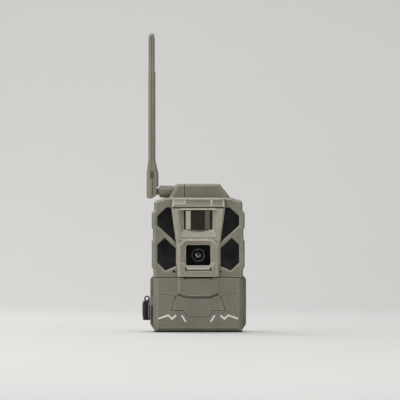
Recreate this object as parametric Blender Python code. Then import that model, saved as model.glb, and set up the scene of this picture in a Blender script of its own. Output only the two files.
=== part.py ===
"""Cellular trail camera, modelled as an assembly of separate pieces.

Frame: the origin is the centre of the bottom face, +Z is up and the lens looks along -Y.
Dimensions are written in millimetres. The mesh helpers turn them into metres.
"""
import math

import bmesh
import bpy
from mathutils import Matrix, Vector

# ---------------------------------------------------------------- driving dimensions, mm
MM = 0.001
GAP = 0.3                 # clearance between neighbouring solids
WALL = 3.0                # case wall
HALF_WIDTH = 50.6         # rear case flanges
RIM_Y = -15.4             # front rim of the rear case
COVER_Y = -16.6           # rear edge of the front shell and of the door
BACK_Y = 33.0             # back face of the rear case
SHELL_FRONT_Y = -33.0     # flat front of the front shell
DOOR_FRONT_Y = -35.6      # flat front of the door
BEZEL_FRONT_Y = -36.4     # front of the centre column
VISOR_FRONT_Y = -38.4     # front of the brow above the detector
LENS_BEZEL_FRONT_Y = -38.3 # front of the lens surround
SEAM_Z = 57.7             # split between the door and the front shell
TOP_Z = 141.8             # top of the front shell
POD_BASE_Z = 142.1        # pod from its base to its top, front to back, and its split
POD_TOP_Z = 156.3
POD_Y = (-14.0, 24.0)
POD_SPLIT_X = -14.4
ANTENNA_TOP_Z = 315.8     # tip of the antenna

HINGE_X = 48.5            # door hinge axis, parallel to Z
HINGE_Y = -16.0
HINGE_RADIUS = 2.1
HINGE_PIN_RADIUS = 0.85

LATCH_X = -54.5           # latch lever pivot, parallel to Z
LATCH_Y = -4.0
LINK_X = -57.0            # link pivot on the lever, parallel to Z
LINK_Y = 3.0
LATCH_Z = 23.0            # middle height of the latch

ANTENNA_Z = 148.2         # axis of the antenna connector, parallel to X
ANTENNA_Y = 2.0
TILT_X = -49.5            # antenna tilt axis, parallel to Y
FORK_Z = 140.9            # lower end of the antenna

LENS_Z = 81.1             # optical axis, parallel to Y
DETECTOR_Z = 118.0        # middle of the motion detector window
LIGHT_HOLE = (-25.4, 63.8)
SOUND_HOLE = (24.2, 63.6)

CELL_RADIUS = 7.1         # AA cell
CELL_LENGTH = 50.2
CELL_PITCH = 14.9

# ---------------------------------------------------------------- front view outlines, mm
# Half outlines run up the +X side, from the bottom to the top.
CASE_HALF = [
    (46.2, 0.0), (46.9, 2.9), (HALF_WIDTH, 8.5), (HALF_WIDTH, 55.8), (46.4, 60.4),
    (46.4, 65.0), (48.2, 69.0), (48.2, 96.5), (46.9, 98.2), (46.9, 108.3), (48.2, 110.0),
    (48.2, 125.5), (45.8, 129.0), (45.8, 136.2), (43.6, 138.4), (37.4, 139.8), (35.8, 141.0),
]
SHELL_HALF = [
    (47.2, 58.1), (47.2, 65.5), (49.0, 69.0), (49.0, 96.5), (47.7, 98.2), (47.7, 108.3),
    (49.0, 110.0), (49.0, 125.5), (46.6, 128.6), (46.6, 136.7), (44.2, 139.2), (37.8, 140.4),
    (36.2, TOP_Z),
]
DOOR_HALF = [(45.6, 0.5), (46.4, 3.0), (47.4, 8.0), (47.4, 57.3)]
DOOR_FRONT_HALF = [(42.3, 4.4), (42.9, 5.8), (43.0, 9.0), (43.0, 57.3)]
UPPER_WINDOW = [(33.4, 131.4), (27.8, 131.4), (23.0, 94.2), (43.2, 112.4), (43.2, 122.1)]
LOWER_WINDOW = [(35.3, 99.4), (22.9, 88.0), (22.9, 69.8), (34.3, 64.8), (43.2, 73.1),
                (43.2, 92.1)]
BEZEL_HALF = [(22.0, 58.4), (22.0, 68.5), (23.4, 72.0), (23.4, 94.6), (28.4, 131.2)]
HOPPER_HALF = [(18.6, 100.2), (22.0, 128.8)]
LENS_BEZEL_HALF = [(21.0, 58.7), (21.0, 92.4), (14.0, 98.3)]
LENS_WINDOW_HALF = [(11.2, 70.5), (12.7, 72.0), (12.7, 90.2), (11.2, 91.7)]
PANEL_HALF = [(6.0, 38.0), (12.6, 38.4), (20.4, 41.4), (21.0, 42.6), (21.0, 57.3)]
PANEL_FACE_HALF = [(6.0, 38.0), (12.6, 38.4), (19.0, 40.9), (19.5, 42.6), (19.5, 57.3)]
UNDER_LIP_HALF = [(12.4, 35.4), (20.9, 39.0), (21.3, 41.0), (20.2, 41.2), (12.7, 38.3)]
CREASE = [(41.6, 41.3), (41.6, 40.3), (24.4, 37.4), (24.4, 38.4)]
PLATE_HALF = [(11.4, 15.6), (15.9, 22.6), (29.6, 22.4), (24.2, 37.6), (21.4, 39.4), (12.4, 36.2)]


# ---------------------------------------------------------------- outline helpers
def mirrored(half):
    """Close a half outline with its mirror image in the plane X = 0."""
    return half + [(-x, z) for x, z in reversed(half)]


def flipped(outline):
    """Mirror an outline in X, keeping its turning direction."""
    return [(-x, z) for x, z in reversed(outline)]


def rectangle(u_min, u_max, v_min, v_max):
    """A rectangle as an outline."""
    return [(u_min, v_min), (u_max, v_min), (u_max, v_max), (u_min, v_max)]


def ring_points(centre_u, centre_v, radius, count):
    """Points of a regular polygon round a centre."""
    step = math.tau / count
    return [(centre_u + radius * math.cos(step * i), centre_v + radius * math.sin(step * i))
            for i in range(count)]


def inset(outline, distance):
    """Move every edge of an outline inwards by a distance; corners stay mitred."""
    area = sum(a[0] * b[1] - b[0] * a[1] for a, b in zip(outline, outline[1:] + outline[:1]))
    inward = math.copysign(1.0, area)
    moved = []
    for before, corner, after in zip(outline[-1:] + outline[:-1], outline, outline[1:] + outline[:1]):
        first = Vector((corner[0] - before[0], corner[1] - before[1])).normalized()
        second = Vector((after[0] - corner[0], after[1] - corner[1])).normalized()
        normal_first = inward * Vector((-first.y, first.x))
        normal_second = inward * Vector((-second.y, second.x))
        mitre = (normal_first + normal_second).normalized()
        shift = mitre * (distance / max(mitre.dot(normal_first), 0.2))
        moved.append((corner[0] + shift.x, corner[1] + shift.y))
    return moved


# ---------------------------------------------------------------- mesh helpers
def to_space(axis, along, point):
    """Put an outline point into space, in metres; the outline is extruded along an axis."""
    u, v = point
    corner = {"X": (along, u, v), "Y": (u, along, v), "Z": (u, v, along)}[axis]
    return Vector(corner) * MM


def loft(name, axis, sections, loop=False):
    """Skin outlines of equal point count; with loop the last joins the first (a tube)."""
    mesh = bpy.data.meshes.new(name)
    shape = bmesh.new()
    rings = [[shape.verts.new(to_space(axis, along, point)) for point in outline]
             for along, outline in sections]
    pairs = list(zip(rings, rings[1:] + rings[:1])) if loop else list(zip(rings, rings[1:]))
    for low, high in pairs:
        for i in range(len(low)):
            j = (i + 1) % len(low)
            shape.faces.new((low[i], low[j], high[j], high[i]))
    if not loop:
        shape.faces.new(rings[0])
        shape.faces.new(rings[-1])
    bmesh.ops.recalc_face_normals(shape, faces=shape.faces[:])
    shape.to_mesh(mesh)
    shape.free()
    created = bpy.data.objects.new(name, mesh)
    bpy.context.scene.collection.objects.link(created)
    return created


def prism(name, axis, outline, start, end):
    """Extrude an outline along an axis."""
    return loft(name, axis, [(start, outline), (end, outline)])


def frame(name, axis, outer, inner, start, end):
    """A flat ring between two outlines of equal point count."""
    return loft(name, axis, [(start, outer), (end, outer), (end, inner), (start, inner)], loop=True)


def box(name, x, y, z):
    """A block from (min, max) pairs."""
    return prism(name, "Y", rectangle(x[0], x[1], z[0], z[1]), y[0], y[1])


def turned(name, axis, centre, profile, count=24, loop=False):
    """A turned piece; the profile lists (place along the axis, radius)."""
    sections = [(along, ring_points(centre[0], centre[1], radius, count))
                for along, radius in profile]
    return loft(name, axis, sections, loop)


def rod(name, axis, centre, radius, start, end, count=16):
    """A plain cylinder."""
    return turned(name, axis, centre, [(start, radius), (end, radius)], count)


def combine(target, others, operation):
    """Run exact Booleans on a piece and remove the helper objects."""
    for other in others:
        modifier = target.modifiers.new(other.name, "BOOLEAN")
        modifier.operation = operation
        modifier.solver = "EXACT"
        modifier.object = other
    bpy.context.view_layer.update()
    depsgraph = bpy.context.evaluated_depsgraph_get()
    result = bpy.data.meshes.new_from_object(target.evaluated_get(depsgraph))
    target.modifiers.clear()
    target.data = result
    for other in others:
        bpy.data.objects.remove(other)
    return target


def cut(target, *cutters):
    """Take the cutters out of a piece."""
    return combine(target, cutters, "DIFFERENCE")


def fuse(target, *additions):
    """Make the additions one body with a piece."""
    return combine(target, additions, "UNION")


# ---------------------------------------------------------------- materials and placing
MATERIALS = {
    # name: (linear base colour, roughness, metallic)
    "shell_plastic": ((0.20, 0.19, 0.155), 0.55, 0.0),
    "black_gloss": ((0.008, 0.008, 0.010), 0.12, 0.0),
    "detector_lens": ((0.020, 0.012, 0.010), 0.10, 0.0),
    "black_plastic": ((0.020, 0.020, 0.021), 0.45, 0.0),
    "inner_plastic": ((0.035, 0.035, 0.037), 0.55, 0.0),
    "lens_glass": ((0.05, 0.05, 0.06), 0.04, 0.0),
    "rubber": ((0.030, 0.030, 0.030), 0.8, 0.0),
    "circuit_board": ((0.02, 0.10, 0.045), 0.45, 0.0),
    "steel": ((0.55, 0.55, 0.54), 0.35, 1.0),
    "brass": ((0.72, 0.50, 0.22), 0.35, 1.0),
    "cell_wrap": ((0.10, 0.11, 0.13), 0.35, 0.0),
    "card_plastic": ((0.04, 0.05, 0.09), 0.4, 0.0),
}


def make_material(name):
    """A Principled BSDF material from the table."""
    colour, roughness, metallic = MATERIALS[name]
    material = bpy.data.materials.new(name)
    material.use_nodes = True
    shader = material.node_tree.nodes["Principled BSDF"]
    shader.inputs["Base Color"].default_value = (*colour, 1.0)
    shader.inputs["Roughness"].default_value = roughness
    shader.inputs["Metallic"].default_value = metallic
    material.diffuse_color = (*colour, 1.0)
    return material


def add_group(name, parent=None, place=(0.0, 0.0, 0.0)):
    """An empty that carries the pieces of one moving body; its place is on the joint's axis."""
    empty = bpy.data.objects.new(name, None)
    bpy.context.scene.collection.objects.link(empty)
    world = Vector(place) * MM
    empty.parent = parent
    empty.location = world - (world_place(parent) if parent else Vector())
    return empty


def world_place(item):
    """World location of an object whose parents are only moved, never turned."""
    place = Vector(item.location)
    while item.parent:
        item = item.parent
        place += item.location
    return place


def finish(piece, group, materials, material):
    """Put a piece under its body's empty, with its own material and smooth round faces."""
    origin = world_place(group)
    piece.data.transform(Matrix.Translation(-origin))
    piece.parent = group
    piece.data.materials.clear()
    piece.data.materials.append(materials[material])
    piece.data.shade_smooth()
    piece.data.set_sharp_from_angle(angle=math.radians(32.0))
    return piece


# ---------------------------------------------------------------- housing
BATTERY_BAY = rectangle(-44.2, 44.2, 3.4, 55.0)
STRAP_BAR_X = 34.0        # middle of each strap bar
STRAP_SLOT_Z = (64.0, 94.0)
CASE_SCREWS = [(-40.0, 64.8), (40.0, 64.8), (-40.0, 134.2), (40.0, 134.2)]
BOARD_SCREWS = [(-30.0, 130.0), (30.0, 69.0)]
DC_Y = 14.0
DC_Z = 20.0
KNUCKLES = {"lower": (8.6, 19.8), "upper": (44.5, 55.8)}
DOOR_KNUCKLE = (20.2, 44.1)


def hinge_barrel(name, z_range, radius=HINGE_RADIUS):
    """A cylinder round the door hinge axis."""
    return rod(name, "Z", (HINGE_X, HINGE_Y), radius, z_range[0], z_range[1])


def make_rear_case():
    """Back shell with the battery bay, the electronics bay, strap loops and hinge knuckles."""
    outline = mirrored(CASE_HALF)
    case = loft("rear_case", "Y", [(RIM_Y, outline), (BACK_Y - 5.0, outline),
                                   (BACK_Y, inset(outline, 2.5))])
    upper = [point for point in CASE_HALF if point[1] >= 65.0]
    upper_bay = inset(mirrored([(46.4, 56.8)] + upper), WALL)
    cut(case,
        prism("upper_bay", "Y", upper_bay, RIM_Y - 1.0, BACK_Y - WALL),
        prism("battery_bay", "Y", BATTERY_BAY, RIM_Y - 1.0, BACK_Y - WALL))
    bosses = [rod(f"boss_{i}", "Y", centre, 3.2, 4.0, BACK_Y - 1.0, 12)
              for i, centre in enumerate(BOARD_SCREWS)]
    posts = [rod(f"post_{i}", "Y", centre, 3.4, RIM_Y, BACK_Y - 1.0, 12)
             for i, centre in enumerate(CASE_SCREWS)]
    fuse(case, *bosses, *posts, rod("insert_boss", "Y", (0.0, SEAM_Z), 5.6, 21.5, BACK_Y - 1.0))
    loops = []
    for side in (-1, 1):
        low, high = STRAP_SLOT_Z
        loop = box("loop", (side * STRAP_BAR_X - 5.0, side * STRAP_BAR_X + 5.0),
                   (BACK_Y - 1.0, BACK_Y + 8.5), (low - 5.0, high + 5.0))
        cut(loop, box("slot", (side * STRAP_BAR_X - 6.0, side * STRAP_BAR_X + 6.0),
                      (BACK_Y - 2.0, BACK_Y + 5.0), STRAP_SLOT_Z))
        loops.append(loop)
    fuse(case, *loops)
    fuse(case, *[hinge_barrel(name, span) for name, span in KNUCKLES.items()])
    holes = [rod(f"boss_hole_{i}", "Y", centre, 1.6, 3.0, 26.0, 10)
             for i, centre in enumerate(BOARD_SCREWS)]
    for i, centre in enumerate(CASE_SCREWS):
        holes.append(turned(f"screw_hole_{i}", "Y", centre,
                            [(RIM_Y - 1.0, 1.8), (BACK_Y - 4.0, 1.8), (BACK_Y - 4.0, 3.0),
                             (BACK_Y + 1.0, 3.0)], 12))
    holes.append(rod("insert_hole", "Y", (0.0, SEAM_Z), 4.1, 22.3, BACK_Y + 1.0))
    holes.append(hinge_barrel("door_knuckle_room", (DOOR_KNUCKLE[0] - GAP, DOOR_KNUCKLE[1] + GAP),
                              HINGE_RADIUS + GAP))
    holes.append(hinge_barrel("pin_hole", (8.0, 57.0), HINGE_PIN_RADIUS + GAP))
    holes.append(box("wire_pass", (26.0, 38.0), (4.0, 10.0), (54.0, 60.5)))
    holes.append(rod("coax_pass", "Z", (-12.0, ANTENNA_Y), 3.0, 130.0, TOP_Z + 1.0, 12))
    holes.append(box("plug_pocket", (48.5, 52.0), (DC_Y - 8.0, DC_Y + 8.0), (DC_Z - 7.0, DC_Z + 7.0)))
    holes.append(rod("jack_hole", "X", (DC_Y, DC_Z), 4.2, 43.0, 49.0))
    return cut(case, *holes)


def keep_seam_flat(outline, height):
    """Pull the lowest points of an inset outline back onto the seam."""
    lowest = min(z for _, z in outline)
    return [(x, height if z < lowest + 0.01 else z) for x, z in outline]


def make_front_shell():
    """Upper front cover with the four lamp windows, sensor holes and screw bosses."""
    outline = mirrored(SHELL_HALF)
    bottom = SHELL_HALF[0][1]
    shell = loft("front_shell", "Y", [(COVER_Y, outline), (SHELL_FRONT_Y + 4.0, outline),
                                      (SHELL_FRONT_Y, keep_seam_flat(inset(outline, 2.2), bottom))])
    cut(shell, prism("bay", "Y", inset(outline, WALL), COVER_Y + 1.0, SHELL_FRONT_Y + 2.5))
    fuse(shell, *[rod(f"boss_{i}", "Y", centre, 3.4, COVER_Y, SHELL_FRONT_Y + 2.0, 12)
                  for i, centre in enumerate(CASE_SCREWS)])
    front = (SHELL_FRONT_Y - 1.0, SHELL_FRONT_Y + 4.0)
    cutters = [rod(f"screw_hole_{i}", "Y", centre, 1.5, COVER_Y + 1.0, SHELL_FRONT_Y + 5.0, 10)
               for i, centre in enumerate(CASE_SCREWS)]
    for name, window in (("upper", UPPER_WINDOW), ("lower", LOWER_WINDOW)):
        for side, shape in (("right", window), ("left", flipped(window))):
            cutters.append(loft(f"{name}_{side}", "Y", [
                (SHELL_FRONT_Y - 0.5, inset(shape, -2.2)), (SHELL_FRONT_Y + 0.9, shape),
                (SHELL_FRONT_Y + 4.0, shape)]))
    cutters.append(box("detector_opening", (-18.6, 18.6), front, (104.4, 131.0)))
    cutters.append(box("lens_opening", (-17.0, 17.0), front, (66.8, 95.2)))
    cutters.append(rod("light_hole", "Y", LIGHT_HOLE, 1.7, *front, 12))
    cutters.append(rod("sound_hole", "Y", SOUND_HOLE, 1.1, *front, 12))
    return cut(shell, *cutters)


def make_pod():
    """Top pod in two mouldings; the left one holds the antenna connector."""
    front, back = POD_Y
    section = [(-30.8, POD_BASE_Z), (34.0, POD_BASE_Z), (22.6, POD_TOP_Z), (-22.0, POD_TOP_Z)]
    lip = 2.0
    ends = [(front, inset(section, lip)), (front + lip, section), (back - 5.0, section),
            (back, inset(section, 2.5))]
    ends[0] = (front, keep_seam_flat(ends[0][1], POD_BASE_Z))
    ends[3] = (back, keep_seam_flat(ends[3][1], POD_BASE_Z))
    pieces = []
    for name, side in (("antenna_housing", -1), ("top_pod", 1)):
        moulding = loft(name, "Y", ends)
        hollow = inset(section, 2.2)
        room = [(x, 140.0 if z < 146.0 else z) for x, z in hollow]
        away = (POD_SPLIT_X - GAP / 2, 60.0) if side < 0 else (-60.0, POD_SPLIT_X + GAP / 2)
        cut(moulding, prism("room", "Y", room, front + 2.4, back - 2.4),
            box("other_half", away, (front - 5.0, back + 5.0), (130.0, 170.0)))
        pieces.append(moulding)
    housing, pod = pieces
    bulkhead = box("bulkhead", (-25.4, -22.8), (front + 2.0, back - 2.0), (142.4, 154.6))
    fuse(housing, bulkhead)
    cut(housing, rod("nut_room", "X", (ANTENNA_Y, ANTENNA_Z), 7.0, -40.0, -25.4, 20),
        rod("jack_room", "X", (ANTENNA_Y, ANTENNA_Z), 3.4, -26.0, -22.0, 16))
    return housing, pod


def make_visor():
    """Brow over the detector window, with a drip lip along its top."""
    band = [(-28.4, 131.8), (28.4, 131.8), (27.4, 139.6), (-27.4, 139.6)]
    lip = [(-27.4, 139.0), (27.4, 139.0), (29.4, 141.5), (-29.4, 141.5)]
    back = SHELL_FRONT_Y - GAP
    visor = loft("visor", "Y", [(back, band), (VISOR_FRONT_Y + 2.2, band),
                                (VISOR_FRONT_Y + 1.4, inset(band, 0.8))])
    ledge = loft("ledge", "Y", [(back, lip), (VISOR_FRONT_Y + 0.8, lip),
                                (VISOR_FRONT_Y, inset(lip, 0.6))])
    return fuse(visor, ledge)


def make_centre_bezel():
    """Tapered column round the detector window and the lens, with a sloped hopper."""
    back = SHELL_FRONT_Y - GAP
    outline = mirrored(BEZEL_HALF)
    bezel = loft("centre_bezel", "Y", [(back, outline), (BEZEL_FRONT_Y + 1.7, outline),
                                       (BEZEL_FRONT_Y, keep_seam_flat(inset(outline, 1.9), 58.4))])
    fuse(bezel, box("window_box", (-18.2, 18.2), (-36.0, -29.6), (104.8, 130.6)))
    window = mirrored([(15.1, 107.9), (15.1, 128.2)])
    mouth = mirrored(HOPPER_HALF)
    cut(bezel, loft("hopper", "Y", [(-32.6, window), (BEZEL_FRONT_Y - 0.2, mouth)]),
        frame("rim_groove", "Y", inset(mouth, -2.6), inset(mouth, -1.8),
              BEZEL_FRONT_Y - 0.5, BEZEL_FRONT_Y + 0.5),
        prism("sight", "Y", window, -34.0, -28.0),
        box("lens_room", (-16.7, 16.7), (-38.0, -30.0), (67.0, 95.0)))
    return bezel


def make_lens_bezel():
    """Lens surround: cut-off top corners, sloped inner faces and a drip lip under the window."""
    front, back = LENS_BEZEL_FRONT_Y, BEZEL_FRONT_Y - GAP
    outer = mirrored(LENS_BEZEL_HALF)
    crest = keep_seam_flat(inset(outer, 1.5), LENS_BEZEL_HALF[0][1])
    bezel = loft("lens_bezel", "Y", [(back, outer), (front + 1.0, outer), (front, crest)])
    fuse(bezel, box("sleeve", (-16.3, 16.3), (-37.2, -33.4), (67.4, 94.6)))
    sight = inset(mirrored(LENS_WINDOW_HALF), -GAP)
    mouth = mirrored([(11.6, 66.4), (18.6, 73.4), (18.6, 91.2), (13.0, 96.8)])
    pocket = mirrored([(11.0, 64.5), (14.4, 63.6), (14.4, 68.4), (12.4, 68.4), (11.4, 65.9)])
    return cut(bezel, loft("slope", "Y", [(-36.1, sight), (front - 0.2, mouth)]),
               prism("sight", "Y", sight, -37.0, -32.0),
               prism("pocket", "Y", pocket, front - 1.0, back + 1.0))


# ---------------------------------------------------------------- windows and sensors
def make_lamp_windows():
    """Four dark infrared windows, set a little below the face of the front shell."""
    windows = []
    for level, outline in (("upper", UPPER_WINDOW), ("lower", LOWER_WINDOW)):
        for side, shape in (("right", outline), ("left", flipped(outline))):
            windows.append(prism(f"ir_window_{level}_{side}", "Y", inset(shape, GAP),
                                 SHELL_FRONT_Y + 0.9, SHELL_FRONT_Y + 3.2))
    return windows


def make_detector():
    """Bulged motion detector lens and the metal-can sensor behind it."""
    steps = 16
    half_width = 14.8
    bulge = [(half_width * (2.0 * i / steps - 1.0),
              -31.6 - 3.7 * (1.0 - (2.0 * i / steps - 1.0) ** 2)) for i in range(steps + 1)]
    section = bulge + [(half_width, -30.2), (-half_width, -30.2)]
    lens = prism("pir_lens", "Z", section, 108.2, 127.9)
    sensor = turned("pir_sensor", "Y", (0.0, DETECTOR_Z), [(-20.0, 4.1), (-15.8, 4.1), (-15.8, 4.7),
                                                           (-15.0, 4.7)])
    return lens, sensor


def make_optics():
    """Window, lens, barrel, holder, filter slide and its driver, all on the optical axis."""
    axis = (0.0, LENS_Z)
    window = prism("lens_window", "Y", mirrored(LENS_WINDOW_HALF), -35.9, -34.2)
    barrel = turned("lens_barrel", "Y", axis, [
        (-32.8, 7.6), (-24.0, 7.6), (-24.0, 6.0), (-16.2, 6.0), (-16.2, 3.2), (-27.0, 3.2),
        (-27.0, 4.3), (-31.5, 4.3), (-32.8, 6.2)], 28, loop=True)
    element = turned("lens_element", "Y", axis, [
        (-31.2, 1.4), (-30.8, 2.7), (-30.0, 3.9), (-27.6, 3.9)], 24)
    holder = box("lens_holder", (-13.0, 13.0), (-19.6, -11.4), (70.0, 92.0))
    cut(holder, rod("bore", "Y", axis, 6.4, -21.0, -14.9, 28), rod("sight", "Y", axis, 3.4, -16.0, -10.0),
        box("filter_slot", (-14.0, 11.0), (-14.6, -13.2), (75.7, 86.5)))
    slide = box("ir_cut_filter", (-5.0, 10.5), (-14.3, -13.5), (76.1, 86.1))
    driver = box("filter_solenoid", (-21.0, -13.4), (-17.4, -11.4), (72.0, 79.0))
    board = box("sensor_board", (-22.0, 16.0), (-11.0, -9.4), (67.5, 94.5))
    return [window, barrel, element, holder, driver, board], slide


def make_small_sensors():
    """The light sensor's lens, seated in its hole."""
    return turned("light_sensor", "Y", LIGHT_HOLE, [(-32.6, 0.7), (-32.2, 1.35), (-28.0, 1.35)], 12)


# ---------------------------------------------------------------- electronics
LAMP_BOARD = [(24.6, 69.6), (42.6, 69.6), (42.6, 129.5), (29.6, 129.5), (24.6, 96.0)]
LAMP_PLACES = [(x, z) for z in (78.0, 84.5, 91.0) for x in (28.2, 34.0, 39.8)] + [
    (39.8, 112.0), (34.6, 112.0), (39.8, 118.5), (34.6, 118.5), (34.6, 125.0)]


def make_lamps():
    """One lamp board on each side, with its infrared emitters soldered on."""
    boards = []
    for side, name in ((1, "right"), (-1, "left")):
        outline = LAMP_BOARD if side > 0 else flipped(LAMP_BOARD)
        board = prism(f"led_board_{name}", "Y", outline, -22.6, -21.0)
        emitters = [turned(f"emitter_{i}", "Y", (side * x, z),
                           [(-28.2, 1.4), (-27.0, 2.3), (-22.0, 2.3)], 8)
                    for i, (x, z) in enumerate(LAMP_PLACES)]
        boards.append(fuse(board, *emitters))
    return boards


def make_main_board():
    """Main circuit board with a shielded processor, the radio module and two board screws."""
    board = box("main_board", (-34.0, 34.0), (2.0, 3.6), (64.5, 134.0))
    fuse(board, box("processor_shield", (-14.0, 14.0), (-1.0, 2.4), (98.0, 124.0)))
    cut(board, *[rod(f"hole_{i}", "Y", centre, 1.7, 1.0, 5.0, 10)
                 for i, centre in enumerate(BOARD_SCREWS)])
    radio = box("radio_module", (-20.0, 14.0), (3.9, 7.2), (88.0, 122.0))
    screws = [turned(f"board_screw_{i + 1}", "Y", centre,
                     [(-0.6, 2.6), (1.7, 2.6), (1.7, 1.25), (14.0, 1.25)], 10)
              for i, centre in enumerate(BOARD_SCREWS)]
    return board, radio, screws


def make_case_screws():
    """Four long screws from the back, through the posts into the front shell."""
    return [turned(f"case_screw_{i + 1}", "Y", centre,
                   [(COVER_Y - 9.0, 1.2), (BACK_Y - 3.7, 1.2), (BACK_Y - 3.7, 2.7),
                    (BACK_Y - 1.4, 2.7)], 10)
            for i, centre in enumerate(CASE_SCREWS)]


def make_gaskets():
    """Flat seals in the split between the case and its two covers."""
    span = (COVER_Y + GAP, RIM_Y - GAP)
    outer = inset(mirrored(SHELL_HALF), 1.5)
    outer = keep_seam_flat(outer, 59.2)
    main = frame("main_gasket", "Y", outer, inset(outer, 1.3), *span)
    door = frame("door_gasket", "Y", mirrored([(45.9, 2.2), (45.9, 56.4)]),
                 mirrored([(44.5, 3.6), (44.5, 55.0)]), *span)
    return main, door


# ---------------------------------------------------------------- battery bay
TRAY_X = (-42.0, 21.0)
TRAY_Y = (-25.6, 29.6)
TRAY_Z = (4.0, 51.5)
PANEL_Y = (-14.0, -12.0)
SWITCH = (29.5, 43.0)
BUTTONS = {"test_button": (39.5, 48.0), "setup_button": (39.5, 38.0)}
CARD_X = 28.0
CARD_Z = (9.0, 33.0)


def cell_places():
    """Axes of the cells: four across and three high."""
    middle_x = (TRAY_X[0] + TRAY_X[1]) / 2
    middle_z = (TRAY_Z[0] + TRAY_Z[1]) / 2
    return [(middle_x + (column - 1.5) * CELL_PITCH, middle_z + (row - 1.0) * CELL_PITCH)
            for row in range(3) for column in range(4)]


def make_battery():
    """Open-sided tray, the twelve cells on their rear contact plate, and the front contact plate."""
    wall = 1.3
    tray = box("battery_tray", TRAY_X, TRAY_Y, TRAY_Z)
    cut(tray, box("bay", (TRAY_X[0] - 1.0, TRAY_X[1] + 1.0), (TRAY_Y[0] + wall, TRAY_Y[1] - wall),
                  (TRAY_Z[0] + wall, TRAY_Z[1] - wall)))
    plate_x = (TRAY_X[0] + 0.6, TRAY_X[1] - 0.6)
    plate_z = (TRAY_Z[0] + wall + GAP, TRAY_Z[1] - wall - GAP)
    front = TRAY_Y[0] + wall + GAP
    back = TRAY_Y[1] - wall - GAP
    cells = box("battery_cells", plate_x, (back - 0.6, back), plate_z)
    tip = back - 0.3 - CELL_LENGTH
    fuse(cells, *[turned(f"cell_{i}", "Y", centre, [
        (tip, 2.7), (tip + 1.2, 2.7), (tip + 1.2, 6.6), (tip + 1.8, CELL_RADIUS),
        (back - 0.3, CELL_RADIUS)], 14) for i, centre in enumerate(cell_places())])
    contact = box("contact_plate", plate_x, (front, front + 0.6), plate_z)
    tab = frame("tray_pull_tab", "Y", rectangle(-20.0, -1.0, 22.0, 34.0),
                rectangle(-17.0, -4.0, 25.0, 31.0), TRAY_Y[0] - 2.1, TRAY_Y[0] - GAP)
    return tray, cells, contact, tab


def make_controls():
    """Panel beside the battery, with its switch, buttons, card and socket."""
    panel = box("control_panel", (22.0, 43.8), PANEL_Y, (4.0, 54.4))
    room = (PANEL_Y[0] - 1.0, PANEL_Y[1] + 1.0)
    switch_x, switch_z = SWITCH
    cut(panel, box("switch_slot", (switch_x - 2.3, switch_x + 2.3), room,
                   (switch_z - 5.6, switch_z + 5.6)),
        box("card_slot", (CARD_X - 1.5, CARD_X + 1.5), room, (CARD_Z[0] - 0.6, CARD_Z[1] + 0.6)),
        *[rod(name, "Y", centre, 3.0, *room, 18) for name, centre in BUTTONS.items()])
    board = box("io_board", (22.6, 43.4), (-8.0, -6.4), (35.0, 54.0))
    socket = box("card_socket", (CARD_X - 2.4, CARD_X + 2.4), (-11.7, 15.0),
                 (CARD_Z[0] - 1.8, CARD_Z[1] + 0.9))
    cut(socket, box("card_room", (CARD_X - 1.4, CARD_X + 1.4), (-13.0, 13.0),
                    (CARD_Z[0] - 0.5, CARD_Z[1] + 0.45)))
    knob = box("power_switch", (switch_x - 1.9, switch_x + 1.9), (-16.2, -11.7),
               (switch_z - 2.0, switch_z + 2.0))
    fuse(knob, box("shoe", (switch_x - 3.4, switch_x + 3.4), (-11.7, -9.0),
                   (switch_z - 3.0, switch_z + 3.0)))
    buttons = [turned(name, "Y", centre, [(-15.4, 2.2), (-15.0, 2.6), (-11.4, 2.6), (-11.4, 3.6),
                                          (-9.4, 3.6)], 18) for name, centre in BUTTONS.items()]
    card = box("sd_card", (CARD_X - 1.05, CARD_X + 1.05), (-16.0, 12.0), CARD_Z)
    return [panel, board, socket], knob, buttons, card


def make_power_inlet():
    """Outside power jack in the right wall and its rubber cover."""
    jack = turned("dc_jack", "X", (DC_Y, DC_Z), [(36.0, 3.8), (47.3, 3.8), (47.3, 2.8), (38.0, 2.8)],
                  20, loop=True)
    back = turned("jack_back", "X", (DC_Y, DC_Z), [(35.0, 3.8), (36.2, 3.8)], 20)
    fuse(jack, back)
    cover = box("dc_plug_cover", (48.8, 50.3), (DC_Y - 7.5, DC_Y + 7.4), (DC_Z - 6.6, DC_Z + 6.6))
    fuse(cover, rod("plug", "X", (DC_Y, DC_Z), 2.4, 47.7, 49.4))
    return jack, cover


def make_tripod_insert():
    """Threaded brass insert in the back, drawn with a plain bore."""
    return turned("tripod_insert", "Y", (0.0, SEAM_Z), [(22.7, 3.8), (BACK_Y - 0.3, 3.8),
                                                        (BACK_Y - 0.3, 2.7), (22.7, 2.7)], 20, loop=True)


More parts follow.
